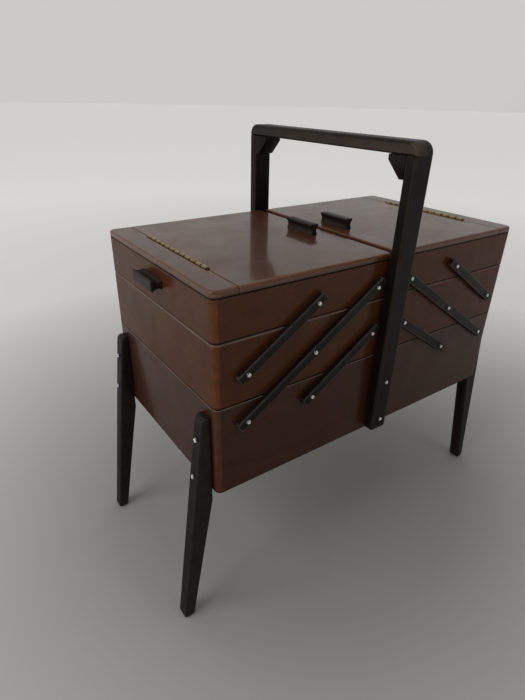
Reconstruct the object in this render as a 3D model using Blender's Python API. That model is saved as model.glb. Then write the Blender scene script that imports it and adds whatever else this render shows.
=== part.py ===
"""Three-tier cantilever sewing box on four splayed legs.

The box stands on Z = 0. X runs along its length, Y from its front to its rear, Z up.
Both halves of the box are the same and open outwards, so every tray, arm and lid is built
by one function that takes the side (-1 left, +1 right) and the face (-1 front, +1 rear).
"""
import math

import bmesh
import bpy
from mathutils import Vector

# ---- driving dimensions, in metres -------------------------------------------------------
BOX_LENGTH = 0.4536
BOX_DEPTH = 0.250
BASE_BOTTOM = 0.182
BASE_TOP = 0.288
MIDDLE_TOP = 0.3586
LID_TOP = 0.4097
LID_THICKNESS = 0.0072

GAP = 0.0003                 # air between pieces that rest on or against one another
WALL = 0.010
BOTTOM_THICKNESS = 0.004
REBATE_WIDTH = 0.005
OUTER_CORNER = 0.0074        # radius of the box's four vertical corners
INNER_CORNER = 0.003         # radius of the tray corners that meet in the middle
SMALL_CORNER = 0.0012
EDGE_CHAMFER = 0.0012
TOP_ROUND = 0.0039           # rounded top edge of the lids and rails
TRAY_INNER_END = 0.0015      # half the gap between the left and the right trays
LID_INNER_END = 0.0050

PIVOT_OUTER_X = 0.193        # arm pivots form a regular grid on each face
PIVOT_STEP_X = 0.083
PIVOT_BASE_Z = 0.2678
PIVOT_STEP_Z = 0.0545
ARM_WIDTH = 0.011
ARM_THICKNESS = 0.006
ARM_STANDOFF = 0.0009
ARM_OVERHANG = 0.0115
ARM_CORNER = 0.0025
ARM_CHAMFER = 0.0012
BOLT_RADIUS = 0.0017
BOLT_HEAD_RADIUS = 0.0029
BOLT_HEAD_HEIGHT = 0.0019
NUT_RADIUS = 0.0033
NUT_THICKNESS = 0.0026

SEAM_X = 0.199               # line between a lid and its fixed rail, and the lid's hinge axis
SEAM_HALF_GAP = 0.0003
HINGE_HALF_LENGTH = 0.070
HINGE_AXIS_Z = LID_TOP + 0.0002
KNUCKLE_RADIUS = 0.0019
HINGE_PIN_RADIUS = 0.0008
LEAF_THICKNESS = 0.0009
LEAF_HEIGHT = 0.0056
KNUCKLE_COUNT = 5

PULL_LENGTH = 0.048
PULL_HEIGHT = 0.0125
LID_PULL_X = 0.028
END_PULL_Z = 0.3850

LEG_DEPTH = 0.017
LEG_FRONT_Y = 0.1155         # distance of a leg's outer side face from the middle
LEG_TOP_Z = 0.276
LEG_TOP_THICKNESS = 0.0099
LEG_FOOT_OUTER = 0.0437      # how far the foot's faces stand out from the box's end
LEG_FOOT_INNER = 0.0302
LEG_KINK_Z = 0.170           # below this height the leg's inner face leaves the box's end
LEG_BOLT_Z = (0.204, 0.249)
LEG_BOLT_HEAD_RADIUS = 0.0034

HANDLE_WIDTH = 0.0245
HANDLE_THICKNESS = 0.0134
HANDLE_STANDOFF = 0.0005
HANDLE_TOP_Z = 0.5215
HANDLE_BOTTOM_Z = 0.1845
HANDLE_LEAN = {-1: 0.0058, 1: 0.0}    # how far each post's top leans out, by face
HANDLE_ROUND = 0.0030
HANDLE_CORNER = 0.0125
HANDLE_BOLT_Z = (0.1995, 0.2535)
BLOCK_WIDTH = 0.0237
BLOCK_ALONG_GRIP = 0.0225
BLOCK_ALONG_POST = 0.0224
BLOCK_END = 0.0054

SIDES = (("left", -1), ("right", 1))
FACES = (("front", -1), ("rear", 1))
CIRCLE_STEPS = 8
CORNER_STEPS = 2

HALF_LENGTH = BOX_LENGTH / 2
HALF_DEPTH = BOX_DEPTH / 2
GRIP_BOTTOM_Z = HANDLE_TOP_Z - HANDLE_THICKNESS
POST_INNER_Y = HALF_DEPTH + HANDLE_STANDOFF
POST_OUTER_Y = POST_INNER_Y + HANDLE_THICKNESS
ARM_INNER_Y = HALF_DEPTH + ARM_STANDOFF
ARM_OUTER_Y = ARM_INNER_Y + ARM_THICKNESS
CARCASS_TOP = LID_TOP - LID_THICKNESS - GAP

# name: (red, green, blue), roughness, metallic
FINISHES = {
    "walnut_lacquer": ((0.085, 0.030, 0.014), 0.30, 0.0),
    "tray_bottom_board": ((0.290, 0.170, 0.085), 0.55, 0.0),
    "espresso_lacquer": ((0.016, 0.009, 0.007), 0.35, 0.0),
    "brass": ((0.550, 0.380, 0.130), 0.30, 1.0),
    "nickel": ((0.720, 0.720, 0.740), 0.22, 1.0),
}


# ---- scene helpers -----------------------------------------------------------------------
def clear_scene():
    """Remove every object that the file opened with."""
    for item in list(bpy.data.objects):
        bpy.data.objects.remove(item, do_unlink=True)


def make_material(name):
    """Return a new Principled material called name, set up from FINISHES."""
    color, roughness, metallic = FINISHES[name.split(".")[0]]
    material = bpy.data.materials.new(name)
    material.use_nodes = True
    shader = material.node_tree.nodes["Principled BSDF"]
    shader.inputs["Base Color"].default_value = (*color, 1.0)
    shader.inputs["Roughness"].default_value = roughness
    shader.inputs["Metallic"].default_value = metallic
    material.diffuse_color = (*color, 1.0)
    return material


def make_axis(name, position):
    """Place an empty on a joint's axis; the pieces of one moving body hang from it."""
    axis = bpy.data.objects.new(name + "_axis", None)
    axis.location = position
    axis.empty_display_size = 0.02
    bpy.context.collection.objects.link(axis)
    return axis


def add_piece(name, bm, finish, axis):
    """Turn a closed bmesh in world coordinates into a named object that hangs from axis."""
    bmesh.ops.recalc_face_normals(bm, faces=bm.faces)
    bmesh.ops.translate(bm, verts=bm.verts, vec=-axis.location)
    mesh = bpy.data.meshes.new(name)
    bm.to_mesh(mesh)
    bm.free()
    mesh.materials.append(make_material(f"{finish}.{name}"))
    piece = bpy.data.objects.new(name, mesh)
    bpy.context.collection.objects.link(piece)
    piece.parent = axis
    shade(piece)
    return piece


def shade(piece):
    """Shade a piece smooth, with its real edges kept sharp."""
    piece.data.polygons.foreach_set("use_smooth", [True] * len(piece.data.polygons))
    piece.data.set_sharp_from_angle(angle=math.radians(32))


def combine(piece, tools, operation):
    """Cut the tool shapes out of a piece (DIFFERENCE) or join them to it (UNION)."""
    for tool in tools:
        bmesh.ops.recalc_face_normals(tool, faces=tool.faces)
        mesh = bpy.data.meshes.new("tool")
        tool.to_mesh(mesh)
        tool.free()
        helper = bpy.data.objects.new("tool", mesh)
        bpy.context.collection.objects.link(helper)
        modifier = piece.modifiers.new("combine", "BOOLEAN")
        modifier.operation = operation
        modifier.solver = "EXACT"
        modifier.object = helper
        bpy.context.view_layer.update()
        evaluated = piece.evaluated_get(bpy.context.evaluated_depsgraph_get())
        result = bpy.data.meshes.new_from_object(evaluated)
        piece.modifiers.clear()
        tidy(result)
        old = piece.data
        result.materials.clear()
        result.materials.append(old.materials[0])
        piece.data = result
        result.name = piece.name
        bpy.data.meshes.remove(old)
        bpy.data.objects.remove(helper, do_unlink=True)
        bpy.data.meshes.remove(mesh)
    shade(piece)


def tidy(mesh):
    """Merge doubled points and give every face the first material."""
    bm = bmesh.new()
    bm.from_mesh(mesh)
    bmesh.ops.remove_doubles(bm, verts=bm.verts, dist=1e-6)
    bmesh.ops.dissolve_degenerate(bm, dist=1e-6, edges=bm.edges)
    for face in bm.faces:
        face.material_index = 0
    bm.to_mesh(mesh)
    bm.free()


# ---- shape helpers -----------------------------------------------------------------------
def arc(center_u, center_v, radius, start, stop, steps):
    """Points on an arc, in degrees, both ends included."""
    points = []
    for index in range(steps + 1):
        angle = math.radians(start + (stop - start) * index / steps)
        points.append((center_u + radius * math.cos(angle), center_v + radius * math.sin(angle)))
    return points


def rounded_rectangle(low_u, high_u, low_v, high_v, low_radius, high_radius=None):
    """Outline of a rectangle; low_radius rounds the corners at low_u, high_radius the others."""
    high_radius = low_radius if high_radius is None else high_radius
    points = arc(high_u - high_radius, low_v + high_radius, high_radius, -90, 0, CORNER_STEPS)
    points += arc(high_u - high_radius, high_v - high_radius, high_radius, 0, 90, CORNER_STEPS)
    points += arc(low_u + low_radius, high_v - low_radius, low_radius, 90, 180, CORNER_STEPS)
    points += arc(low_u + low_radius, low_v + low_radius, low_radius, 180, 270, CORNER_STEPS)
    return points


def loft(loops, closed=False):
    """Join loops with equal numbers of 3-D points by quads; cap the ends unless closed."""
    bm = bmesh.new()
    rings = [[bm.verts.new(point) for point in loop] for loop in loops]
    count = len(rings[0])
    pairs = list(zip(rings, rings[1:]))
    if closed:
        pairs.append((rings[-1], rings[0]))
    for lower, upper in pairs:
        for index in range(count):
            following = (index + 1) % count
            bm.faces.new((lower[index], lower[following], upper[following], upper[index]))
    if not closed:
        bm.faces.new(rings[0][::-1])
        bm.faces.new(rings[-1])
    return bm


def box_shape(low, high):
    """A plain box between two corners."""
    loops = []
    corners = ((low[0], low[1]), (high[0], low[1]), (high[0], high[1]), (low[0], high[1]))
    for z in (low[2], high[2]):
        loops.append([(x, y, z) for x, y in corners])
    return loft(loops)


def turned(profile, start, direction):
    """Revolve (radius, distance) points around the line from start along direction."""
    direction = Vector(direction).normalized()
    across = direction.orthogonal().normalized()
    other = direction.cross(across)
    loops = []
    for radius, distance in profile:
        center = Vector(start) + direction * distance
        loop = []
        for index in range(CIRCLE_STEPS):
            angle = 2 * math.pi * (index + 0.5) / CIRCLE_STEPS
            loop.append(center + (across * math.cos(angle) + other * math.sin(angle)) * radius)
        loops.append(loop)
    return loft(loops)


def rod(radius, start, end):
    """A plain round bar, used for pins and for drilling holes."""
    start, end = Vector(start), Vector(end)
    return turned([(radius, 0.0), (radius, (end - start).length)], start, end - start)


def bolt_shape(start, direction, grip, head_radius=BOLT_HEAD_RADIUS):
    """Domed head at start, shank along direction, then a nut behind grip."""
    height = BOLT_HEAD_HEIGHT * head_radius / BOLT_HEAD_RADIUS
    dome = [(head_radius * math.sin(a), -height * math.cos(a)) for a in (0.5, 1.1)]
    profile = dome + [
        (head_radius, 0.0),
        (BOLT_RADIUS, 0.0),
        (BOLT_RADIUS, grip),
        (NUT_RADIUS, grip),
        (NUT_RADIUS, grip + NUT_THICKNESS),
    ]
    return turned(profile, start, direction)


def hole_shape(x, z, face):
    """Drill for one arm bolt, right through an arm and the wall behind it."""
    outer = face * (ARM_OUTER_Y + 0.004)
    inner = face * (HALF_DEPTH - WALL - 0.004)
    return rod(BOLT_RADIUS + GAP, (x, outer, z), (x, inner, z))


# ---- box and trays -----------------------------------------------------------------------
def spans(side):
    """X range of a half-length piece and the corner radii at its low and high ends."""
    if side < 0:
        return -HALF_LENGTH, -TRAY_INNER_END, OUTER_CORNER, INNER_CORNER
    return TRAY_INNER_END, HALF_LENGTH, INNER_CORNER, OUTER_CORNER


def plan_loop(low_x, high_x, low_r, high_r, inset, z):
    """Outline of a tray at height z, moved in from its outer faces by inset."""
    low_r = max(low_r - inset, SMALL_CORNER)
    high_r = max(high_r - inset, SMALL_CORNER)
    half = HALF_DEPTH - inset
    outline = rounded_rectangle(low_x + inset, high_x - inset, -half, half, low_r, high_r)
    return [(x, y, z) for x, y in outline]


def carcass_shape(low_x, high_x, low_r, high_r, bottom, top):
    """Four walls in one piece, chamfered outside, with a rebate below for the bottom board."""
    rebate = bottom + BOTTOM_THICKNESS + 0.0005
    section = [
        (EDGE_CHAMFER, bottom),
        (0.0, bottom + EDGE_CHAMFER),
        (0.0, top - EDGE_CHAMFER),
        (EDGE_CHAMFER, top),
        (WALL, top),
        (WALL, rebate),
        (WALL - REBATE_WIDTH, rebate),
        (WALL - REBATE_WIDTH, bottom),
    ]
    loops = [plan_loop(low_x, high_x, low_r, high_r, inset, z) for inset, z in section]
    return loft(loops, closed=True)


def bottom_shape(low_x, high_x, low_r, high_r, bottom):
    """The board that lies in a carcass's rebate."""
    inset = WALL - REBATE_WIDTH + GAP
    levels = (bottom + 0.0002, bottom + 0.0002 + BOTTOM_THICKNESS)
    return loft([plan_loop(low_x, high_x, low_r, high_r, inset, z) for z in levels])


def pivot(side, column, row):
    """A point (x, z) of the arm-pivot grid: column 0 is the outer one, row 0 the base."""
    return side * (PIVOT_OUTER_X - PIVOT_STEP_X * column), PIVOT_BASE_Z + PIVOT_STEP_Z * row


def make_base(root):
    """Bottom box with its drilled walls and its bottom board."""
    low_x, high_x = -HALF_LENGTH, HALF_LENGTH
    top = BASE_TOP - GAP
    shape = carcass_shape(low_x, high_x, OUTER_CORNER, OUTER_CORNER, BASE_BOTTOM, top)
    base = add_piece("base_carcass", shape, "walnut_lacquer", root)
    drills = []
    for _, face in FACES:
        for _, side in SIDES:
            drills += [hole_shape(*pivot(side, column, 0), face) for column in (0, 1)]
            for z in LEG_BOLT_Z:
                y = face * (LEG_FRONT_Y - LEG_DEPTH / 2)
                outer = (side * (HALF_LENGTH + 0.004), y, z)
                inner = (side * (HALF_LENGTH - WALL - 0.004), y, z)
                drills.append(rod(BOLT_RADIUS + GAP, outer, inner))
        drills += [hole_shape(0.0, z, face) for z in HANDLE_BOLT_Z]
    combine(base, drills, "DIFFERENCE")
    board = bottom_shape(low_x, high_x, OUTER_CORNER, OUTER_CORNER, BASE_BOTTOM)
    add_piece("base_bottom", board, "tray_bottom_board", root)


def make_tray(name, side, bottom, top, holes, axis):
    """One tray: its four-walled carcass, drilled for the arms, and its bottom board."""
    low_x, high_x, low_r, high_r = spans(side)
    shape = carcass_shape(low_x, high_x, low_r, high_r, bottom, top)
    tray = add_piece(f"{name}_tray", shape, "walnut_lacquer", axis)
    drills = [hole_shape(x, z, face) for x, z in holes for _, face in FACES]
    combine(tray, drills, "DIFFERENCE")
    board = bottom_shape(low_x, high_x, low_r, high_r, bottom)
    add_piece(f"{name}_bottom", board, "tray_bottom_board", axis)


# ---- lids, rails, pulls and hinges -------------------------------------------------------
def panel_shape(low_x, high_x, low_r, high_r, low_round, high_round):
    """A flat top panel with rounded front, rear and end edges, each end with its own round."""
    bottom = LID_TOP - LID_THICKNESS
    loops = []
    levels = [(bottom, 90.0), (LID_TOP - TOP_ROUND, 90.0)]
    levels += [(LID_TOP - TOP_ROUND * (1 - math.cos(math.radians(a))), a) for a in (45.0, 0.0)]
    for z, angle in levels:
        share = 1 - math.sin(math.radians(angle))
        left, right = low_x + low_round * share, high_x - high_round * share
        half = HALF_DEPTH - TOP_ROUND * share
        left_r = max(low_r - low_round * share, SMALL_CORNER)
        right_r = max(high_r - high_round * share, SMALL_CORNER)
        outline = rounded_rectangle(left, right, -half, half, left_r, right_r)
        loops.append([(x, y, z) for x, y in outline])
    return loft(loops)


def hinge_recess(side):
    """Room for the knuckles and for both leaves in the facing edges of lid and rail."""
    knuckle = KNUCKLE_RADIUS + 0.0004
    leaf = SEAM_HALF_GAP + LEAF_THICKNESS + 2 * GAP
    reach = HINGE_HALF_LENGTH + 0.0005
    x = side * SEAM_X
    floor = HINGE_AXIS_Z - knuckle
    leaf_bottom = HINGE_AXIS_Z - LEAF_HEIGHT - GAP
    upper = box_shape((x - knuckle, -reach, floor), (x + knuckle, reach, LID_TOP + 0.002))
    lower = box_shape((x - leaf, -reach, leaf_bottom), (x + leaf, reach, floor + 0.0004))
    return [upper, lower]


def make_lid_and_rail(name, side, tray_axis, lid_axis):
    """The fixed rail over the tray's outer end and the lid that is hinged to it."""
    sharp = 0.0005
    lid_end, rail_end = SEAM_X - SEAM_HALF_GAP, SEAM_X + SEAM_HALF_GAP
    outer, inner, small = OUTER_CORNER, INNER_CORNER, SMALL_CORNER
    if side < 0:
        rail = panel_shape(-HALF_LENGTH, -rail_end, outer, small, TOP_ROUND, sharp)
        lid = panel_shape(-lid_end, -LID_INNER_END, small, inner, sharp, EDGE_CHAMFER)
    else:
        rail = panel_shape(rail_end, HALF_LENGTH, small, outer, sharp, TOP_ROUND)
        lid = panel_shape(LID_INNER_END, lid_end, inner, small, EDGE_CHAMFER, sharp)
    rail = add_piece(f"{name}_hinge_rail", rail, "walnut_lacquer", tray_axis)
    combine(rail, hinge_recess(side), "DIFFERENCE")
    lid = add_piece(f"{name}_lid", lid, "walnut_lacquer", lid_axis)
    combine(lid, hinge_recess(side), "DIFFERENCE")


def pull_outline():
    """Flared cross-section of a pull: (across, out) points, narrow in the waist."""
    half = [(0.0045, 0.0), (0.0040, 0.0012), (0.0033, 0.0040), (0.0036, 0.0070)]
    half += [(0.0050, 0.0092), (0.0062, 0.0106), (0.0058, 0.0120), (0.0046, PULL_HEIGHT)]
    return half + [(-across, out) for across, out in reversed(half)]


def pull_shape(place):
    """Sweep the pull's cross-section along Y, with its ends slightly chamfered."""
    half = PULL_LENGTH / 2
    middle = PULL_HEIGHT / 2
    loops = []
    for y, scale in ((-half, 0.86), (-half + 0.0008, 1.0), (half - 0.0008, 1.0), (half, 0.86)):
        loop = []
        for across, out in pull_outline():
            loop.append(place(across * scale, y, middle + (out - middle) * scale))
        loops.append(loop)
    return loft(loops)


def make_pulls(name, side, tray_axis, lid_axis):
    """One pull on the lid, near the middle, and one on the tray's outer end."""
    def on_lid(across, y, out):
        return side * LID_PULL_X + across, y, LID_TOP + GAP + out

    def on_end(across, y, out):
        return side * (HALF_LENGTH + GAP + out), y, END_PULL_Z + across

    add_piece(f"{name}_lid_pull", pull_shape(on_lid), "espresso_lacquer", lid_axis)
    add_piece(f"{name}_end_pull", pull_shape(on_end), "espresso_lacquer", tray_axis)


def knuckle_shape(x, low_y, high_y):
    """One tube of the hinge, closed at its ends around the pin's hole."""
    loops = []
    ends = ((KNUCKLE_RADIUS, low_y), (KNUCKLE_RADIUS, high_y), (HINGE_PIN_RADIUS + GAP, high_y),
            (HINGE_PIN_RADIUS + GAP, low_y))
    for radius, y in ends:
        outline = arc(x, HINGE_AXIS_Z, radius, 15, 345, CIRCLE_STEPS - 1)
        loops.append([(u, y, v) for u, v in outline])
    return loft(loops, closed=True)


def make_hinge(name, side, tray_axis, lid_axis):
    """Brass piano hinge: two leaves with alternate knuckles and the pin through them."""
    pitch = 2 * HINGE_HALF_LENGTH / KNUCKLE_COUNT
    x = side * SEAM_X
    for part, sign, first, axis in (("rail", side, 0, tray_axis), ("lid", -side, 1, lid_axis)):
        near = x + sign * SEAM_HALF_GAP
        far = x + sign * (SEAM_HALF_GAP + LEAF_THICKNESS)
        low = (min(near, far), -HINGE_HALF_LENGTH, HINGE_AXIS_Z - LEAF_HEIGHT)
        high = (max(near, far), HINGE_HALF_LENGTH, HINGE_AXIS_Z - KNUCKLE_RADIUS - 0.0003)
        leaf = add_piece(f"{name}_hinge_leaf_{part}", box_shape(low, high), "brass", axis)
        tubes, webs = [], []
        for index in range(first, KNUCKLE_COUNT, 2):
            low_y = -HINGE_HALF_LENGTH + pitch * index + GAP
            high_y = low_y + pitch - 2 * GAP
            webs.append(box_shape((low[0], low_y + GAP, high[2] - 0.0002),
                                  (high[0], high_y - GAP, HINGE_AXIS_Z - HINGE_PIN_RADIUS - 0.0006)))
            tubes.append(knuckle_shape(x, low_y, high_y))
        combine(leaf, webs + tubes, "UNION")
    ends = ((x, -HINGE_HALF_LENGTH, HINGE_AXIS_Z), (x, HINGE_HALF_LENGTH, HINGE_AXIS_Z))
    add_piece(f"{name}_hinge_pin", rod(HINGE_PIN_RADIUS, *ends), "brass", tray_axis)


# ---- arms and their bolts ----------------------------------------------------------------
def arm_shape(side, face, start, pivots):
    """A flat bar with squared, rounded ends that covers pivots grid steps from start."""
    step = Vector((-side * PIVOT_STEP_X, PIVOT_STEP_Z))
    along = step.normalized()
    across = Vector((-along.y, along.x))
    length = step.length * (pivots - 1)
    loops = []
    for y, inset in ((ARM_INNER_Y, 0.0), (ARM_OUTER_Y - ARM_CHAMFER, 0.0), (ARM_OUTER_Y, ARM_CHAMFER)):
        reach = ARM_OVERHANG - inset
        half = ARM_WIDTH / 2 - inset
        outline = rounded_rectangle(-reach, length + reach, -half, half, ARM_CORNER - inset / 2)
        loop = []
        for u, v in outline:
            point = Vector(start) + along * u + across * v
            loop.append((point.x, face * y, point.y))
        loops.append(loop)
    return loft(loops)


def arm_bolt(x, z, face):
    """Bolt through an arm and a tray wall, with its nut inside the tray."""
    start = (x, face * (ARM_OUTER_Y + GAP), z)
    return bolt_shape(start, (0, -face, 0), ARM_OUTER_Y - HALF_DEPTH + WALL + 2 * GAP)


def make_short_arm(name, side, face, start, axis):
    """Arm between two neighbouring tiers, with both of its bolts fixed in it."""
    arm = add_piece(name, arm_shape(side, face, start, 2), "espresso_lacquer", axis)
    far = (start[0] - side * PIVOT_STEP_X, start[1] + PIVOT_STEP_Z)
    bolts = []
    for x, z in (start, far):
        sunk = (x, face * (ARM_OUTER_Y - GAP), z)
        bolts.append(bolt_shape(sunk, (0, -face, 0), ARM_OUTER_Y - HALF_DEPTH + WALL))
    combine(arm, bolts, "UNION")


def make_long_arm(name, side, face, axis):
    """Arm from the base over the middle tray to the top tray, drilled for three bolts."""
    start = pivot(side, 0, 0)
    arm = add_piece(name, arm_shape(side, face, start, 3), "espresso_lacquer", axis)
    combine(arm, [hole_shape(*pivot(side, step, step), face) for step in range(3)], "DIFFERENCE")


def make_side(side_name, side, root):
    """Everything of one half: two trays, lid, hinge, pulls, six arms and their bolts."""
    def axis_at(body, x, z):
        return make_axis(f"{side_name}_{body}", (x, 0.0, z))

    tier_axes = [("base", root)]
    long_axis = axis_at("long_arms", *pivot(side, 0, 0))
    lower_axis = axis_at("lower_arms", *pivot(side, 1, 0))
    upper_axis = axis_at("upper_arms", *pivot(side, 0, 1))
    middle_axis = axis_at("middle_tray", *pivot(side, 1, 1))
    top_axis = axis_at("top_tray", *pivot(side, 2, 2))
    lid_axis = axis_at("lid", side * SEAM_X, HINGE_AXIS_Z)
    tier_axes += [("middle", middle_axis), ("top", top_axis)]

    middle_holes = [pivot(side, column, 1) for column in (0, 1, 2)]
    top_holes = [pivot(side, column, 2) for column in (1, 2)]
    make_tray(f"{side_name}_middle", side, BASE_TOP, MIDDLE_TOP - GAP, middle_holes, middle_axis)
    make_tray(f"{side_name}_top", side, MIDDLE_TOP, CARCASS_TOP, top_holes, top_axis)
    make_lid_and_rail(side_name, side, top_axis, lid_axis)
    make_pulls(side_name, side, top_axis, lid_axis)
    make_hinge(side_name, side, top_axis, lid_axis)

    for face_name, face in FACES:
        name = f"{side_name}_{face_name}"
        make_long_arm(f"{name}_long_arm", side, face, long_axis)
        make_short_arm(f"{name}_lower_arm", side, face, pivot(side, 1, 0), lower_axis)
        make_short_arm(f"{name}_upper_arm", side, face, pivot(side, 0, 1), upper_axis)
        for step, (tier, axis) in enumerate(tier_axes):
            bolt = arm_bolt(*pivot(side, step, step), face)
            add_piece(f"{name}_{tier}_bolt", bolt, "nickel", axis)


# ---- legs --------------------------------------------------------------------------------
def leg_outline():
    """Leg seen from the front: (distance out from the box's end, height) points."""
    top = LEG_TOP_Z
    round_top = arc(LEG_TOP_THICKNESS - 0.0045, top - 0.0045, 0.0045, 5, 90, 3)
    foot = [(GAP, LEG_KINK_Z), (LEG_FOOT_INNER, 0.0015), (LEG_FOOT_INNER + 0.0015, 0.0),
            (LEG_FOOT_OUTER - 0.0015, 0.0), (LEG_FOOT_OUTER, 0.0015)]
    return foot + round_top + [(GAP, top)]


def leg_face_at(z):
    """How far the leg's outer face stands out from the box's end at height z."""
    share = z / LEG_TOP_Z
    return LEG_FOOT_OUTER + (LEG_TOP_THICKNESS - LEG_FOOT_OUTER) * share


def make_leg(name, side, face, root):
    """A tapered, splayed leg, bolted to the end of the base by two bolts."""
    outer, inner = LEG_FRONT_Y, LEG_FRONT_Y - LEG_DEPTH
    outline = leg_outline()
    loops = []
    for y, scale in ((outer, 0.0012), (outer - 0.0012, 0.0), (inner + 0.0012, 0.0), (inner, 0.0012)):
        loop = []
        for out, z in outline:
            out = out + (scale if out < leg_face_at(z) - 0.006 else -scale)
            loop.append((side * (HALF_LENGTH + out), face * y, z))
        loops.append(loop)
    leg = add_piece(name, loft(loops), "espresso_lacquer", root)
    bolts = []
    for z in LEG_BOLT_Z:
        start_x = HALF_LENGTH + leg_face_at(z) - 0.0006
        start = (side * start_x, face * (outer + inner) / 2, z)
        grip = start_x - HALF_LENGTH + WALL + GAP
        bolts.append(bolt_shape(start, (-side, 0, 0), grip, LEG_BOLT_HEAD_RADIUS))
    combine(leg, bolts, "UNION")


# ---- handle ------------------------------------------------------------------------------
def lean_at(face, z):
    """How far a post has leant outwards at height z."""
    return HANDLE_LEAN[face] * (z - HANDLE_BOTTOM_Z) / (GRIP_BOTTOM_Z - HANDLE_BOTTOM_Z)


def make_post(face_name, face, root):
    """Upright of the handle, bolted to the base's front or rear wall by two bolts."""
    half = HANDLE_WIDTH / 2
    loops = []
    levels = ((HANDLE_BOTTOM_Z, 0.002), (HANDLE_BOTTOM_Z + 0.002, 0.0), (GRIP_BOTTOM_Z - GAP, 0.0))
    for z, inset in levels:
        lean = lean_at(face, z)
        center = POST_OUTER_Y + lean - inset - HANDLE_ROUND
        outline = [(-half, POST_INNER_Y + lean), (half, POST_INNER_Y + lean)]
        outline += arc(half - HANDLE_ROUND, center, HANDLE_ROUND, 0, 90, CORNER_STEPS)
        outline += arc(-half + HANDLE_ROUND, center, HANDLE_ROUND, 90, 180, CORNER_STEPS)
        loops.append([(x, face * y, z) for x, y in outline])
    post = add_piece(f"{face_name}_handle_post", loft(loops), "espresso_lacquer", root)
    bolts = []
    for z in HANDLE_BOLT_Z:
        outer = POST_OUTER_Y + lean_at(face, z)
        start = (0.0, face * (outer - 0.0003), z)
        bolts.append(bolt_shape(start, (0, -face, 0), outer - HALF_DEPTH + WALL))
    combine(post, bolts, "UNION")


def grip_outline(inset):
    """Grip seen from the side: (y, z) points, its outer faces moved in by inset."""
    rear = POST_OUTER_Y + HANDLE_LEAN[1] - inset
    front = -POST_OUTER_Y - HANDLE_LEAN[-1] + inset
    top = HANDLE_TOP_Z - inset
    radius = HANDLE_CORNER - inset
    points = [(front, GRIP_BOTTOM_Z), (rear, GRIP_BOTTOM_Z)]
    points += arc(rear - radius, top - radius, radius, 0, 90, 3)
    points += arc(front + radius, top - radius, radius, 90, 180, 3)
    return points


def make_grip(root):
    """Cross bar of the handle, with large outer corners and rounded long edges."""
    half = HANDLE_WIDTH / 2
    angles = (0.0, 45.0, 90.0)
    levels = [(-half + HANDLE_ROUND * (1 - math.cos(math.radians(a))), a) for a in angles]
    levels += [(-x, a) for x, a in reversed(levels)]
    loops = []
    for x, angle in levels:
        inset = HANDLE_ROUND * (1 - math.sin(math.radians(angle)))
        loops.append([(x, y, z) for y, z in grip_outline(inset)])
    add_piece("handle_grip", loft(loops), "espresso_lacquer", root)


def make_block(face_name, face, root):
    """Stiffening block in the corner between a post and the grip."""
    top = GRIP_BOTTOM_Z - GAP
    low = top - BLOCK_ALONG_POST
    wall = POST_INNER_Y - GAP + lean_at(face, top)
    wall_low = POST_INNER_Y - GAP + lean_at(face, low)
    outline = [(wall, top), (wall - BLOCK_ALONG_GRIP, top)]
    outline += [(wall - BLOCK_ALONG_GRIP, top - BLOCK_END), (wall_low - BLOCK_END, low), (wall_low, low)]
    half = BLOCK_WIDTH / 2
    loops = [[(x, face * y, z) for y, z in outline] for x in (-half, half)]
    add_piece(f"{face_name}_corner_block", loft(loops), "espresso_lacquer", root)


def main():
    clear_scene()
    root = make_axis("base", (0.0, 0.0, 0.0))
    make_base(root)
    for side_name, side in SIDES:
        make_side(side_name, side, root)
    for face_name, face in FACES:
        for side_name, side in SIDES:
            make_leg(f"{face_name}_{side_name}_leg", side, face, root)
        make_post(face_name, face, root)
        make_block(face_name, face, root)
    make_grip(root)


main()
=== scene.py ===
"""Looks of a three-tier cantilever sewing box with splayed legs and a fixed carrying handle.

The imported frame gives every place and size. Each sub-assembly below rebuilds its own pieces with
finer edges, turned or carved detail and a procedural finish, and rides them on the frame's bodies.
"""
import logging
import math
from collections.abc import Callable, Sequence
from dataclasses import dataclass, field
from enum import Enum

import bmesh
import bpy
from mathutils import Matrix, Vector


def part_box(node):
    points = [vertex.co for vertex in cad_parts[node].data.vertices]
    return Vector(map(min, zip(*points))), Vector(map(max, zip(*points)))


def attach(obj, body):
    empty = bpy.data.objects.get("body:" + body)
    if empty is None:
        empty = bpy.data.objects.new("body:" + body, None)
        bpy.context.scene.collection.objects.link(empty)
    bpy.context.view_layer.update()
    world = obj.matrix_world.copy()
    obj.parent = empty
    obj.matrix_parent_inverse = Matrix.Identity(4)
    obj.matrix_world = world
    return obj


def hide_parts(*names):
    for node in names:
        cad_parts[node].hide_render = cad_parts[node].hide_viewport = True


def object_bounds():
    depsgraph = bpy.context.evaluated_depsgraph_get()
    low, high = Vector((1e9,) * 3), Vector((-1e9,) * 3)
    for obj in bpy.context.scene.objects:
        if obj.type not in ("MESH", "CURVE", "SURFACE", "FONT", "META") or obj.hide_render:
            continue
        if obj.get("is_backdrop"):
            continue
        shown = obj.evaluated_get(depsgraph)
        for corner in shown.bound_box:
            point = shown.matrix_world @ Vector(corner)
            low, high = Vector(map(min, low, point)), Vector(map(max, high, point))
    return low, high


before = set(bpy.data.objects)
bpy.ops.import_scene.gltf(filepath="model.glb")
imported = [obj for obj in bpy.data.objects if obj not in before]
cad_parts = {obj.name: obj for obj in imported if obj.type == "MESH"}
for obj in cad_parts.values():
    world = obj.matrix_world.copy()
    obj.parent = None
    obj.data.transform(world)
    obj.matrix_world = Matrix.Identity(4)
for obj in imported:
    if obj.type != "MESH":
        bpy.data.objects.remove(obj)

CAD_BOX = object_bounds()
LOG = logging.getLogger("sewing_box")

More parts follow.
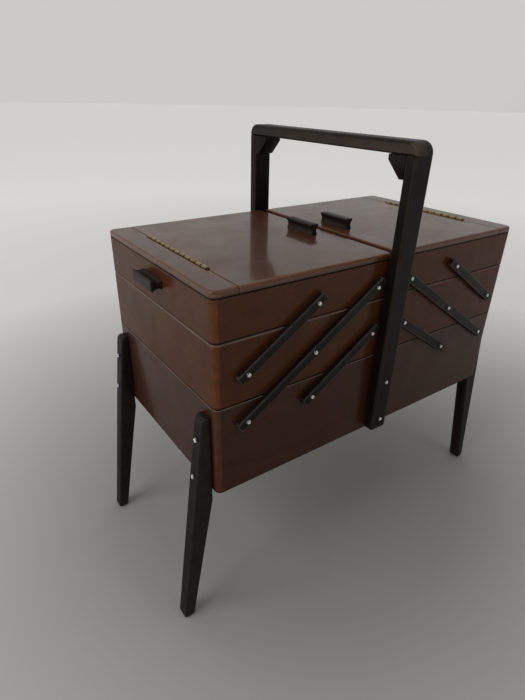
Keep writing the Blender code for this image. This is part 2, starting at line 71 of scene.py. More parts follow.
CORNER_POINTS = 9
"""Points that rounded_outline gives each corner with its usual six chords."""
SMALLEST_RADIUS = 0.0008
"""Least corner radius of a wall or a lid, which keeps the chords apart."""
SMALLEST_BAR_RADIUS = 0.0006
"""Least corner radius of an arm or a leg."""
TINY = 0.0001
"""Two heights that differ by less are the same level."""
JUST_OVER = 1.01
"""Factor that takes in the points at the very end of a rounded edge."""
HAIR = 1e-5
"""Least height between two neighbouring rings of points."""
CLEARANCE = 0.0003
"""Gap that the frame leaves between touching pieces."""
FLAT_ANGLE = 3.0
"""Degrees below which two faces count as one flat face."""
BOLT_SMOOTHING = 28.0
"""Smoothing angle of bolts, in degrees, which keeps the hexagon's corners sharp."""
GRAIN_STRIDE = (0.377, 0.771, 0.193)
"""How far the grain moves on from one piece to the next, so that no two pieces look alike."""
GRAIN_SPAN = (5.0, 3.0, 2.0)
"""Where the grain's shift starts again."""

Colour = tuple[float, float, float]
Spot = tuple[float, float]
Point = tuple[float, float, float]
Outline = list[Spot]
Loop = list[Point]
Placer = Callable[[float, float, float], Point]
GrainMap = Callable[[Vector], Point]
Mask = Callable[[Vector], float]


class Side(Enum):
    """Half of the box; the value is the sign of its X."""

    LEFT = -1
    RIGHT = 1

    @property
    def label(self) -> str:
        """Name of the half as the frame writes it."""
        return self.name.lower()


class Face(Enum):
    """Long face of the box; the value is the sign of its Y."""

    FRONT = -1
    REAR = 1

    @property
    def label(self) -> str:
        """Name of the face as the frame writes it."""
        return self.name.lower()


class Tier(Enum):
    """Storey of the box; the value counts up from the base."""

    BASE = 0
    MIDDLE = 1
    TOP = 2


# ---- shader graphs -----------------------------------------------------------------------
@dataclass
class Graph:
    """Short way to add and join the nodes of one node tree."""

    tree: bpy.types.NodeTree

    def add(self, kind: str, **settings: object) -> bpy.types.Node:
        """Add a node.

        Args:
            kind: the node's type without its ShaderNode prefix.
            settings: attributes of the node to set.

        Returns:
            The new node.
        """
        prefix = "" if kind.startswith("Node") else "ShaderNode"
        node = self.tree.nodes.new(prefix + kind)
        for key, value in settings.items():
            setattr(node, key, value)
        return node

    def put(self, socket: bpy.types.NodeSocket, value: object) -> None:
        """Feed a socket.

        Args:
            socket: the input to feed.
            value: an output socket to link, or a plain value to set.
        """
        if isinstance(value, bpy.types.NodeSocket):
            self.tree.links.new(value, socket)
        else:
            socket.default_value = value

    def math(self, operation: str, *values: object, clamp: bool = False) -> bpy.types.NodeSocket:
        """Add a Math node and return its output.

        Args:
            operation: the Math node's operation.
            values: its inputs, plain or linked.
            clamp: True to keep the result within 0 and 1.

        Returns:
            The node's output socket.
        """
        node = self.add("Math", operation=operation, use_clamp=clamp)
        for socket, value in zip(node.inputs, values):
            self.put(socket, value)
        return node.outputs[0]

    def mix(self, factor: object, first: object, second: object) -> bpy.types.NodeSocket:
        """Mix two colours.

        Args:
            factor: share of the second colour.
            first: colour at factor 0.
            second: colour at factor 1.

        Returns:
            The mixed colour's socket.
        """
        node = self.add("Mix", data_type="RGBA")
        self.put(node.inputs[0], factor)
        for socket, value in ((node.inputs[6], first), (node.inputs[7], second)):
            self.put(socket, (*value, 1.0) if isinstance(value, tuple) and len(value) == 3 else value)
        return node.outputs[2]

    def between(self, value: object, low: float, high: float, start: float = 0.0,
                stop: float = 1.0) -> bpy.types.NodeSocket:
        """Map a value from one range to another, clamped.

        Args:
            value: the value to map.
            low: input that gives start.
            high: input that gives stop.
            start: output at low.
            stop: output at high.

        Returns:
            The mapped value's socket.
        """
        node = self.add("MapRange", clamp=True)
        for socket, item in zip(node.inputs, (value, low, high, start, stop)):
            self.put(socket, item)
        return node.outputs[0]

    def speckle(self, vector: object, scale: object, detail: float = 3.0, rough: float = 0.55,
                distortion: float = 0.0) -> bpy.types.NodeSocket:
        """Add a noise texture and return its value.

        Args:
            vector: coordinates in metres.
            scale: cells per metre.
            detail: octaves.
            rough: strength of the finer octaves.
            distortion: how far the noise bends itself.

        Returns:
            The noise value's socket.
        """
        node = self.add("TexNoise", noise_dimensions="3D")
        for key, item in (("Vector", vector), ("Scale", scale), ("Detail", detail), ("Roughness", rough),
                          ("Distortion", distortion)):
            self.put(node.inputs[key], item)
        return node.outputs[0]

    def stretch(self, vector: object, along: float, across: float, depth: float) -> bpy.types.NodeSocket:
        """Scale coordinates along their three axes.

        Args:
            vector: coordinates to scale.
            along: factor along the grain.
            across: factor across the face.
            depth: factor into the face.

        Returns:
            The scaled coordinates' socket.
        """
        node = self.add("VectorMath", operation="MULTIPLY")
        self.put(node.inputs[0], vector)
        self.put(node.inputs[1], (along, across, depth))
        return node.outputs[0]


class ShaderGroup:
    """A shader node group with named sockets, built once and shared by every finish."""

    made: dict[str, bpy.types.NodeTree] = {}

    def __init__(self, name: str, inputs: Sequence[tuple[str, str, object]],
                 outputs: Sequence[tuple[str, str]]) -> None:
        """Open a new group.

        Args:
            name: the group's name.
            inputs: (socket name, socket type, default) of each input.
            outputs: (socket name, socket type) of each output.
        """
        self.tree = bpy.data.node_groups.new(name, "ShaderNodeTree")
        for title, kind, default in inputs:
            socket = self.tree.interface.new_socket(title, in_out="INPUT", socket_type=f"NodeSocket{kind}")
            if default is not None:
                socket.default_value = default
        for title, kind in outputs:
            self.tree.interface.new_socket(title, in_out="OUTPUT", socket_type=f"NodeSocket{kind}")
        self.graph = Graph(self.tree)
        self.into = self.graph.add("NodeGroupInput").outputs
        self.out = self.graph.add("NodeGroupOutput").inputs
        ShaderGroup.made[name] = self.tree

    @staticmethod
    def place(graph: Graph, name: str, **values: object) -> bpy.types.Node:
        """Place a shared group in a material.

        Args:
            graph: the material's graph.
            name: the group's name.
            values: its inputs, with _ for a space in a socket's name.

        Returns:
            The group node.
        """
        node = graph.add("Group")
        node.node_tree = ShaderGroup.made[name]
        for key, value in values.items():
            graph.put(node.inputs[key.replace("_", " ")], value)
        return node


def build_timber_group() -> None:
    """Figure of stained timber: broad tone bands, fine fibres and open pores."""
    group = ShaderGroup(
        "Timber figure",
        [("Grain", "Vector", None), ("Band Scale", "Float", 1.0), ("Fibre Scale", "Float", 1.0)],
        [("Tone", "Float"), ("Pores", "Float"), ("Relief", "Float"), ("Patch", "Float")])
    g, source = group.graph, group.into
    scaled = g.add("VectorMath", operation="SCALE")
    g.put(scaled.inputs[0], source["Grain"])
    g.put(scaled.inputs[3], source["Band Scale"])
    along_bands = g.stretch(scaled.outputs[0], along=3.5, across=46.0, depth=46.0)
    bands = g.speckle(along_bands, scale=1.0, detail=4.0, distortion=0.9)
    cloud = g.speckle(scaled.outputs[0], scale=16.0, rough=0.5)
    fine = g.add("VectorMath", operation="SCALE")
    g.put(fine.inputs[0], source["Grain"])
    g.put(fine.inputs[3], source["Fibre Scale"])
    along_fibres = g.stretch(fine.outputs[0], along=26.0, across=620.0, depth=620.0)
    fibres = g.speckle(along_fibres, scale=1.0, detail=4.0, rough=0.65)
    along_pores = g.stretch(fine.outputs[0], along=95.0, across=1500.0, depth=1500.0)
    slots = g.speckle(along_pores, scale=1.0, detail=2.0, rough=0.4)
    pores = g.between(slots, low=0.61, high=0.70)
    band_share, fibre_share, pore_depth = 0.60, 0.40, 0.9
    tone = g.math("ADD", g.math("MULTIPLY", g.between(bands, low=0.30, high=0.72), band_share),
                  g.math("MULTIPLY", g.between(fibres, low=0.28, high=0.74), fibre_share))
    relief = g.math("SUBTRACT", fibres, g.math("MULTIPLY", pores, pore_depth))
    g.put(group.out["Tone"], tone)
    g.put(group.out["Pores"], pores)
    g.put(group.out["Relief"], relief)
    g.put(group.out["Patch"], g.between(cloud, low=0.32, high=0.70))


def build_wear_group() -> None:
    """Arris wear and painted arris highlight: the mesh's own edge mask, broken up so that the wear comes and goes;
    on the arms, whose edge colour is light grey, it is a painted highlight as well.
    """
    group = ShaderGroup(
        "Edge wear",
        [("Edge", "Float", 0.0), ("Place", "Vector", None), ("Breakup", "Float", 90.0), ("Amount", "Float", 0.5)],
        [("Wear", "Float")])
    g, source = group.graph, group.into
    sharpness = 1.6
    coarse = g.speckle(source["Place"], source["Breakup"], detail=4.0, rough=0.6)
    broken = g.between(coarse, low=0.32, high=0.66, start=0.40, stop=1.0)
    raised = g.math("POWER", source["Edge"], sharpness)
    worn = g.math("MULTIPLY", raised, broken)
    g.put(group.out["Wear"], g.math("MULTIPLY", worn, source["Amount"], clamp=True))


def build_film_group() -> None:
    """Handling marks and fine dust that dull a polished face in soft patches."""
    group = ShaderGroup(
        "Dust and smudges",
        [("Place", "Vector", None), ("Scale", "Float", 22.0), ("Amount", "Float", 0.5)],
        [("Film", "Float"), ("Specks", "Float")])
    g, source = group.graph, group.into
    patch = g.speckle(source["Place"], source["Scale"], detail=5.0, rough=0.62, distortion=0.4)
    film = g.math("MULTIPLY", g.between(patch, low=0.42, high=0.75), source["Amount"], clamp=True)
    dust = g.speckle(source["Place"], scale=900.0, detail=2.0, rough=0.5)
    specks = g.between(dust, low=0.70, high=0.76)
    g.put(group.out["Film"], film)
    g.put(group.out["Specks"], g.math("MULTIPLY", specks, source["Amount"], clamp=True))


def build_metal_group() -> None:
    """Fine turning and polishing scratches with soft tarnish."""
    group = ShaderGroup(
        "Metal wear",
        [("Place", "Vector", None), ("Scratch Scale", "Float", 1.0), ("Tarnish Scale", "Float", 300.0)],
        [("Scratches", "Float"), ("Tarnish", "Float")])
    g, source = group.graph, group.into
    scaled = g.add("VectorMath", operation="SCALE")
    g.put(scaled.inputs[0], source["Place"])
    g.put(scaled.inputs[3], source["Scratch Scale"])
    lines = g.stretch(scaled.outputs[0], along=4000.0, across=500.0, depth=4000.0)
    g.put(group.out["Scratches"], g.speckle(lines, scale=1.0, rough=0.6))
    tarnish = g.speckle(source["Place"], source["Tarnish Scale"], detail=4.0, rough=0.6)
    g.put(group.out["Tarnish"], g.between(tarnish, low=0.45, high=0.75))


# ---- finishes ----------------------------------------------------------------------------
@dataclass(frozen=True)
class Finish:
    """What every finish has: the record's slot."""

    slot: str

    def build(self) -> bpy.types.Material:
        """Make the material; each kind of finish has its own."""
        raise NotImplementedError

    def start(self) -> tuple[bpy.types.Material, Graph, bpy.types.Node]:
        """Open an empty material.

        Returns:
            The material, its graph and its Principled shader, which already feeds the output.
        """
        material = bpy.data.materials.new(self.slot)
        material.use_nodes = True
        graph = Graph(material.node_tree)
        graph.tree.nodes.clear()
        shader = graph.add("BsdfPrincipled")
        output = graph.add("OutputMaterial")
        graph.put(output.inputs["Surface"], shader.outputs[0])
        return material, graph, shader


@dataclass(frozen=True)
class LacqueredTimber(Finish):
    """Stained hardwood or veneer under clear lacquer.

    A (low, high) pair of rough runs from spotless to dull places; a pair of coat from bare to smudged ones.
    Besides real wear and knocks, the finish paints shade into seams and gaps and paints highlights along tray rims
    and arm arrises.
    """

    dark: Colour
    light: Colour
    # Colour along the arrises: wear, and on the arms also a painted highlight.
    worn: Colour
    pore: Colour
    band_scale: float = 1.0
    fibre_scale: float = 1.0
    wear: float = 0.5
    rough: tuple[float, float] = (0.42, 0.60)
    coat: tuple[float, float] = (1.0, 0.72)
    coat_roughness: float = 0.11
    specular: float = 0.30
    relief: float = 0.10
    # Near-black colour of the painted shade in the seams between tiers and in the gap under each lid.
    grime: Colour = (0.0045, 0.0028, 0.0022)
    # Light colour of knocks on the grip, laid also as a painted highlight along the rims of the base and middle
    # trays.
    pale_mark: Colour = (0.200, 0.140, 0.118)
    speck: Colour = (0.30, 0.27, 0.24)
    deep_share: float = 0.72
    patch_share: float = 0.30
    pore_share: float = 0.55
    polish_share: tuple[float, float] = (0.85, 0.5)
    grime_share: float = 0.95
    speck_share: float = 0.10
    film_amount: float = 0.8
    soiled_coat: float = 0.12
    coat_ior: float = 1.5
    relief_depth: float = 0.0004
    from_object: bool = False

    def build(self) -> bpy.types.Material:
        """Build the stained, lacquered material.

        Returns:
            The material.
        """
        material, g, shader = self.start()
        if self.from_object:
            place = g.add("TexCoord").outputs["Object"]
        else:
            place = g.add("Attribute", attribute_name="grain").outputs["Vector"]
        edge = g.add("Attribute", attribute_name="worn").outputs["Fac"]
        soil = g.add("Attribute", attribute_name="grime").outputs["Fac"]
        figure = ShaderGroup.place(g, "Timber figure", Grain=place, Band_Scale=self.band_scale,
                                   Fibre_Scale=self.fibre_scale)
        wear = ShaderGroup.place(g, "Edge wear", Edge=edge, Place=place, Amount=self.wear).outputs["Wear"]
        film = ShaderGroup.place(g, "Dust and smudges", Place=place, Amount=self.film_amount)
        stain = g.mix(figure.outputs["Tone"], self.dark, self.light)
        deep = tuple(self.deep_share * channel for channel in self.dark)
        stain = g.mix(g.math("MULTIPLY", figure.outputs["Patch"], self.patch_share), stain, deep)
        stain = g.mix(g.math("MULTIPLY", figure.outputs["Pores"], self.pore_share), stain, self.pore)
        # Wear along the arrises; on the arms, whose edge colour is light grey, it is also a painted highlight.
        stain = g.mix(wear, stain, self.worn)
        # Painted highlight along the top arris of the base and middle trays, and a knock on the grip, both in one
        # light colour.
        polish = g.add("Attribute", attribute_name="polish").outputs["Fac"]
        uneven = g.between(figure.outputs["Patch"], 0.0, 1.0, *self.polish_share)
        highlight_and_knock_amount = g.math("MULTIPLY", polish, uneven)
        stain = g.mix(highlight_and_knock_amount, stain, self.pale_mark)
        # Painted shade: near-black in the seams between tiers and along each lid's lower edge.
        stain = g.mix(g.math("MULTIPLY", soil, self.grime_share), stain, self.grime)
        specks = g.math("MULTIPLY", film.outputs["Specks"], self.speck_share)
        g.put(shader.inputs["Base Color"], g.mix(specks, stain, self.speck))
        dull = g.math("ADD", g.math("MULTIPLY", figure.outputs["Tone"], 0.5),
                      g.math("MULTIPLY", film.outputs["Film"], 0.5))
        g.put(shader.inputs["Roughness"], g.between(dull, 0.1, 0.9, *self.rough))
        gloss = g.between(film.outputs["Film"], 0.0, 1.0, *self.coat)
        # Where the shade is painted, the coat's gloss is taken away as well.
        undarkened = g.between(soil, 0.0, 1.0, start=1.0, stop=self.soiled_coat)
        g.put(shader.inputs["Coat Weight"], g.math("MULTIPLY", gloss, undarkened))
        shader.inputs["Coat Roughness"].default_value = self.coat_roughness
        shader.inputs["Coat IOR"].default_value = self.coat_ior
        shader.inputs["Specular IOR Level"].default_value = self.specular
        bump = g.add("Bump")
        bump.inputs["Strength"].default_value = self.relief
        bump.inputs["Distance"].default_value = self.relief_depth
        g.put(bump.inputs["Height"], figure.outputs["Relief"])
        g.put(shader.inputs["Normal"], bump.outputs[0])
        return material


@dataclass(frozen=True)
class Metal(Finish):
    """Plated or solid metal with soft tarnish and fine scratches."""

    bright: Colour
    tarnished: Colour
    rough: tuple[float, float]
    tarnish: float = 0.6
    # Dark colour laid where the mesh marks it: painted shade in the hinge's knuckle gaps, and the darker rim of
    # each bolt head.
    soiled: Colour = (0.035, 0.030, 0.026)
    soil_share: float = 0.9
    relief: float = 0.05
    relief_depth: float = 0.0001

    def build(self) -> bpy.types.Material:
        """Build the metal material.

        Returns:
            The material.
        """
        material, g, shader = self.start()
        place = g.add("Attribute", attribute_name="grain").outputs["Vector"]
        wear = ShaderGroup.place(g, "Metal wear", Place=place)
        soil = g.add("Attribute", attribute_name="grime").outputs["Fac"]
        share = g.math("MULTIPLY", wear.outputs["Tarnish"], self.tarnish)
        metal = g.mix(share, self.bright, self.tarnished)
        # Darkened where the mesh marks it: painted shade between the hinge's knuckles, and each bolt head towards
        # its rim.
        g.put(shader.inputs["Base Color"], g.mix(g.math("MULTIPLY", soil, self.soil_share), metal, self.soiled))
        blend = g.math("ADD", g.math("MULTIPLY", wear.outputs["Tarnish"], 0.6),
                       g.math("MULTIPLY", wear.outputs["Scratches"], 0.4))
        g.put(shader.inputs["Roughness"], g.between(blend, 0.1, 0.9, *self.rough))
        shader.inputs["Metallic"].default_value = 1.0
        bump = g.add("Bump")
        bump.inputs["Strength"].default_value = self.relief
        bump.inputs["Distance"].default_value = self.relief_depth
        g.put(bump.inputs["Height"], wear.outputs["Scratches"])
        g.put(shader.inputs["Normal"], bump.outputs[0])
        return material


@dataclass(frozen=True)
class StudioFloor(Finish):
    """Plain matt floor, greyer under the box as painted shade, paler with distance, and with a painted glow far
    away that fades it into the bright world.
    """

    # Painted shade: the floor is greyer close around and under the box.
    near: Colour = (0.30, 0.299, 0.288)
    far: Colour = (0.88, 0.875, 0.86)
    near_radius: float = 0.24
    far_radius: float = 1.00
    # Painted light: the far floor glows as if lit.
    glow: Colour = (0.21, 0.208, 0.200)
    glow_from: float = 0.9
    glow_to: float = 2.6
    patch_shade: float = 0.95
    rough: tuple[float, float] = (0.62, 0.72)
    specular: float = 0.25

    def build(self) -> bpy.types.Material:
        """Build the floor's material.

        Returns:
            The material.
        """
        material, g, shader = self.start()
        place = g.add("TexCoord").outputs["Object"]
        patch = g.between(g.speckle(place, scale=2.5, rough=0.5), low=0.3, high=0.7)
        distance = g.add("VectorMath", operation="LENGTH")
        g.put(distance.inputs[0], place)
        spread = g.between(distance.outputs["Value"], self.near_radius, self.far_radius)
        darker = tuple(self.patch_shade * channel for channel in self.near)
        g.put(shader.inputs["Base Color"], g.mix(spread, g.mix(patch, self.near, darker), self.far))
        g.put(shader.inputs["Roughness"], g.between(patch, 0.0, 1.0, *self.rough))
        shader.inputs["Specular IOR Level"].default_value = self.specular
        beyond = g.between(distance.outputs["Value"], self.glow_from, self.glow_to)
        g.put(shader.inputs["Emission Color"], g.mix(beyond, (0.0, 0.0, 0.0), self.glow))
        shader.inputs["Emission Strength"].default_value = 1.0
        return material


WALNUT = LacqueredTimber(
    "walnut_lacquer", dark=(0.050, 0.0145, 0.0042), light=(0.092, 0.0265, 0.0078),
    worn=(0.200, 0.060, 0.018), pore=(0.014, 0.006, 0.003), specular=0.06, coat=(0.24, 0.15), wear=0.42,
    coat_roughness=0.13)
TOP_WALNUT = LacqueredTimber(
    "walnut_lacquer", dark=(0.048, 0.0135, 0.0050), light=(0.088, 0.0260, 0.0095),
    worn=(0.150, 0.054, 0.022), pore=(0.012, 0.005, 0.003), specular=0.12, coat=(0.64, 0.46), wear=0.60)
# A darker copy of the walnut for the base: painted shade, as the lowest tier gets less light from above.
SHADED_BASE_WALNUT = LacqueredTimber(
    "walnut_lacquer", dark=(0.034, 0.0105, 0.0040), light=(0.062, 0.0195, 0.0068),
    worn=(0.140, 0.045, 0.015), pore=(0.010, 0.005, 0.003), specular=0.08, coat=(0.32, 0.22), wear=0.42,
    coat_roughness=0.13)
ESPRESSO = LacqueredTimber(
    "espresso_lacquer", dark=(0.0058, 0.0036, 0.0024), light=(0.0112, 0.0070, 0.0044),
    worn=(0.046, 0.034, 0.026), pore=(0.004, 0.003, 0.003), wear=0.40, coat=(0.13, 0.08),
    coat_roughness=0.18, specular=0.06, band_scale=1.8)
# The arms' light grey edge colour is partly wear and partly a painted highlight along each arris.
ARM_ESPRESSO = LacqueredTimber(
    "espresso_lacquer", dark=(0.0070, 0.0054, 0.0042), light=(0.0115, 0.0084, 0.0062),
    worn=(0.110, 0.092, 0.078), pore=(0.004, 0.003, 0.003), wear=0.50, coat=(0.16, 0.10),
    coat_roughness=0.16, specular=0.07, band_scale=1.8)
BOARD = LacqueredTimber(
    "tray_bottom_board", dark=(0.30, 0.17, 0.080), light=(0.42, 0.26, 0.135), worn=(0.46, 0.30, 0.17),
    pore=(0.16, 0.09, 0.05), rough=(0.50, 0.68), coat=(0.25, 0.15), coat_roughness=0.35, wear=0.2,
    from_object=True)
BRASS = Metal("brass", bright=(0.36, 0.255, 0.095), tarnished=(0.085, 0.060, 0.024), rough=(0.26, 0.46),
              tarnish=0.9)
NICKEL = Metal("nickel", bright=(0.80, 0.80, 0.81), tarnished=(0.42, 0.42, 0.43), rough=(0.10, 0.24),
               tarnish=0.45)
FLOOR = StudioFloor("studio_floor")


# ---- workshop: meshes into dressed pieces ------------------------------------------------
@dataclass
class Workshop:
    """Turns closed meshes into named pieces with a finish, a body and a grain direction."""

    materials: dict[Finish, bpy.types.Material] = field(default_factory=dict)
    count: int = 0

    def material(self, finish: Finish) -> bpy.types.Material:
        """Find a finish's material, made on first use.

        Args:
            finish: the finish.

        Returns:
            Its material.
        """
        if finish not in self.materials:
            self.materials[finish] = finish.build()
        return self.materials[finish]

    def piece(self, name: str, bm: bmesh.types.BMesh, finish: Finish, body: str,
              replaces: Sequence[str] = (), grain: GrainMap | None = None, smooth: float = 34.0,
              worn: Mask | None = None, grime: Mask | None = None, polish: Mask | None = None) -> None:
        """Make one piece of the object.

        Args:
            name: the piece's name.
            bm: its closed mesh in the frame's coordinates; it is freed here.
            finish: its finish.
            body: the frame's body that it rides on.
            replaces: the frame's nodes that it stands for.
            grain: turns a point into (along, across, depth) of the grain.
            smooth: faces that meet within this angle, in degrees, are shaded as one.
            worn: how much wear a point's arris has, 0 to 1, which on the arms is also a painted highlight; every
                arris has it if it is left out.
            darkening: how far a point is darkened, 0 to 1: painted shade in seams and gaps, and the darker rim of
                each bolt head; nothing is if it is left out.
            polish: how far a point is lightened, 0 to 1, by a knock on the grip and by a painted highlight along a
                tray's rim; nothing is if it is left out.
        """
        bmesh.ops.recalc_face_normals(bm, faces=bm.faces)
        bm.verts.ensure_lookup_table()
        shift = Vector([self.count * stride % span for stride, span in zip(GRAIN_STRIDE, GRAIN_SPAN)])
        places, edges, darkening_values, pales = [], [], [], []
        for vert in bm.verts:
            along = grain(vert.co) if grain else tuple(vert.co)
            places.extend(Vector(along) + shift)
            angles = [edge.calc_face_angle(0.0) for edge in vert.link_edges]
            bent = 1.0 if max(angles, default=0.0) > math.radians(FLAT_ANGLE) else 0.0
            edges.append(worn(vert.co) if worn else bent)
            darkening_values.append(grime(vert.co) if grime else 0.0)
            pales.append(polish(vert.co) if polish else 0.0)
        mesh = bpy.data.meshes.new(name)
        bm.to_mesh(mesh)
        bm.free()
        mesh.attributes.new("grain", "FLOAT_VECTOR", "POINT").data.foreach_set("vector", places)
        # Besides wear and knocks, these attributes carry painted light: highlights on the arms' arrises and tray
        # rims, and shade in seams and gaps.
        for title, values in (("worn", edges), ("grime", darkening_values), ("polish", pales)):
            mesh.attributes.new(title, "FLOAT", "POINT").data.foreach_set("value", values)
        mesh.materials.append(self.material(finish))
        mesh.polygons.foreach_set("use_smooth", [True] * len(mesh.polygons))
        mesh.set_sharp_from_angle(angle=math.radians(smooth))
        made = bpy.data.objects.new(name, mesh)
        bpy.context.scene.collection.objects.link(made)
        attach(made, body)
        if replaces:
            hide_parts(*replaces)
        self.count += 1
        LOG.info("%s: %d faces on %s", name, len(mesh.polygons), body)

    def dress_node(self, node: str, finish: Finish) -> None:
        """Give a node of the frame that keeps its shape a better finish.

        Args:
            node: the node's name.
            finish: its finish.
        """
        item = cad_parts[node]
        for place in item.material_slots:
            place.link = "OBJECT"
            place.material = self.material(finish)
        LOG.info("%s: dressed in %s", node, finish.slot)


# ---- shapes ------------------------------------------------------------------------------
def loft(loops: Sequence[Loop], closed: bool = False) -> bmesh.types.BMesh:
    """Join loops of equal length by quads.

    Args:
        loops: rings of points, in order.
        closed: True to join the last ring to the first; False to cap both ends.

    Returns:
        The closed mesh.
    """
    bm = bmesh.new()
    rings = [[bm.verts.new(point) for point in loop] for loop in loops]
    count = len(rings[0])
    pairs = list(zip(rings, rings[1:]))
    if closed:
        pairs.append((rings[-1], rings[0]))
    for lower, upper in pairs:
        for index in range(count):
            following = (index + 1) % count
            bm.faces.new((lower[index], lower[following], upper[following], upper[index]))
    if not closed:
        bm.faces.new(rings[0][::-1])
        bm.faces.new(rings[-1])
    return bm


def arc(u: float, v: float, radius: float, start: float, stop: float, steps: int) -> Outline:
    """Points on an arc.

    Args:
        u: first coordinate of the centre.
        v: second coordinate of the centre.
        radius: its radius.
        start: first angle in degrees.
        stop: last angle in degrees.
        steps: number of chords.

    Returns:
        The points, both ends included.
    """
    points = []
    for index in range(steps + 1):
        angle = math.radians(start + (stop - start) * index / steps)
        points.append((u + radius * math.cos(angle), v + radius * math.sin(angle)))
    return points


def rounded_outline(low: Spot, high: Spot, radii: Sequence[float], steps: int = 6,
                    guard: float = 0.002) -> Outline:
    """Rectangle with rounded corners and a guard point on each straight side next to each corner.

    Args:
        low: lowest corner.
        high: highest corner.
        radii: radius at (high, low), (high, high), (low, high) and (low, low).
        steps: chords in each corner.
        guard: distance of the guard points from the corners.

    Returns:
        The outline, anticlockwise from the (high, low) corner.
    """
    corners = (
        (high[0] - radii[0], low[1] + radii[0], radii[0], -90),
        (high[0] - radii[1], high[1] - radii[1], radii[1], 0),
        (low[0] + radii[2], high[1] - radii[2], radii[2], 90),
        (low[0] + radii[3], low[1] + radii[3], radii[3], 180),
    )
    points = []
    for u, v, radius, start in corners:
        bend = arc(u, v, radius, start, start + 90, steps)
        turn_in, turn_out = math.radians(start), math.radians(start + 90)
        before = (bend[0][0] + guard * math.sin(turn_in), bend[0][1] - guard * math.cos(turn_in))
        after = (bend[-1][0] - guard * math.sin(turn_out), bend[-1][1] + guard * math.cos(turn_out))
        points += [before, *bend, after]
    return points


def arris(radius: float, steps: int = 4) -> Outline:
    """Quarter-round edge as (inset from the side, drop from the top) pairs.

    Args:
        radius: radius of the edge.
        steps: chords in it.

    Returns:
        Pairs from the top face (inset radius, drop 0) to the side face (inset 0, drop radius).
    """
    pairs = []
    for index in range(steps + 1):
        angle = math.pi / 2 * index / steps
        pairs.append((radius * (1 - math.sin(angle)), radius * (1 - math.cos(angle))))
    return pairs


def slab(outline: Callable[[float], Outline], low: float, high: float, low_edge: float, high_edge: float,
         place: Placer, guard: float = 0.0015) -> bmesh.types.BMesh:
    """Thick plate with rounded edges on both faces.

    Args:
        outline: gives the plate's outline moved in by an inset.
        low: level of the lower face.
        high: level of the upper face.
        low_edge: edge radius below.
        high_edge: edge radius above.
        place: turns (u, v, level) into a point.
        guard: width of the flat band that each face keeps next to its rounded edge.

    Returns:
        The closed mesh.
    """
    levels = [(low_edge + guard, low)]
    levels += [(inset, low + drop) for inset, drop in arris(low_edge)]
    levels.append((0.0, min(low + low_edge + guard, (low + high) / 2)))
    levels.append((0.0, max(high - high_edge - guard, (low + high) / 2 + HAIR)))
    levels += [(inset, high - drop) for inset, drop in reversed(arris(high_edge))]
    levels.append((high_edge + guard, high))
    loops = [[place(u, v, level) for u, v in outline(inset)] for inset, level in levels]
    return loft(loops)


def turned(rings: Outline, start: Vector, direction: Vector, steps: int = 24) -> bmesh.types.BMesh:
    """Revolve a profile.

    Args:
        rings: (radius, distance) pairs, from one end to the other.
        start: point that distances count from.
        direction: unit vector of the axis.
        steps: sides of each ring.

    Returns:
        The closed mesh.
    """
    across = direction.orthogonal().normalized()
    other = direction.cross(across)
    loops = []
    for radius, distance in rings:
        loop = []
        for index in range(steps):
            angle = 2 * math.pi * index / steps
            spot = across * math.cos(angle) + other * math.sin(angle)
            loop.append(tuple(start + direction * distance + spot * radius))
        loops.append(loop)
    return loft(loops)


def merged(parts: Sequence[bmesh.types.BMesh]) -> bmesh.types.BMesh:
    """Put several closed meshes into one.

    Args:
        parts: the meshes; they are freed.

    Returns:
        The mesh that holds them all.
    """
    whole = bmesh.new()
    for part in parts:
        mesh = bpy.data.meshes.new("part")
        part.to_mesh(mesh)
        part.free()
        whole.from_mesh(mesh)
        bpy.data.meshes.remove(mesh)
    return whole


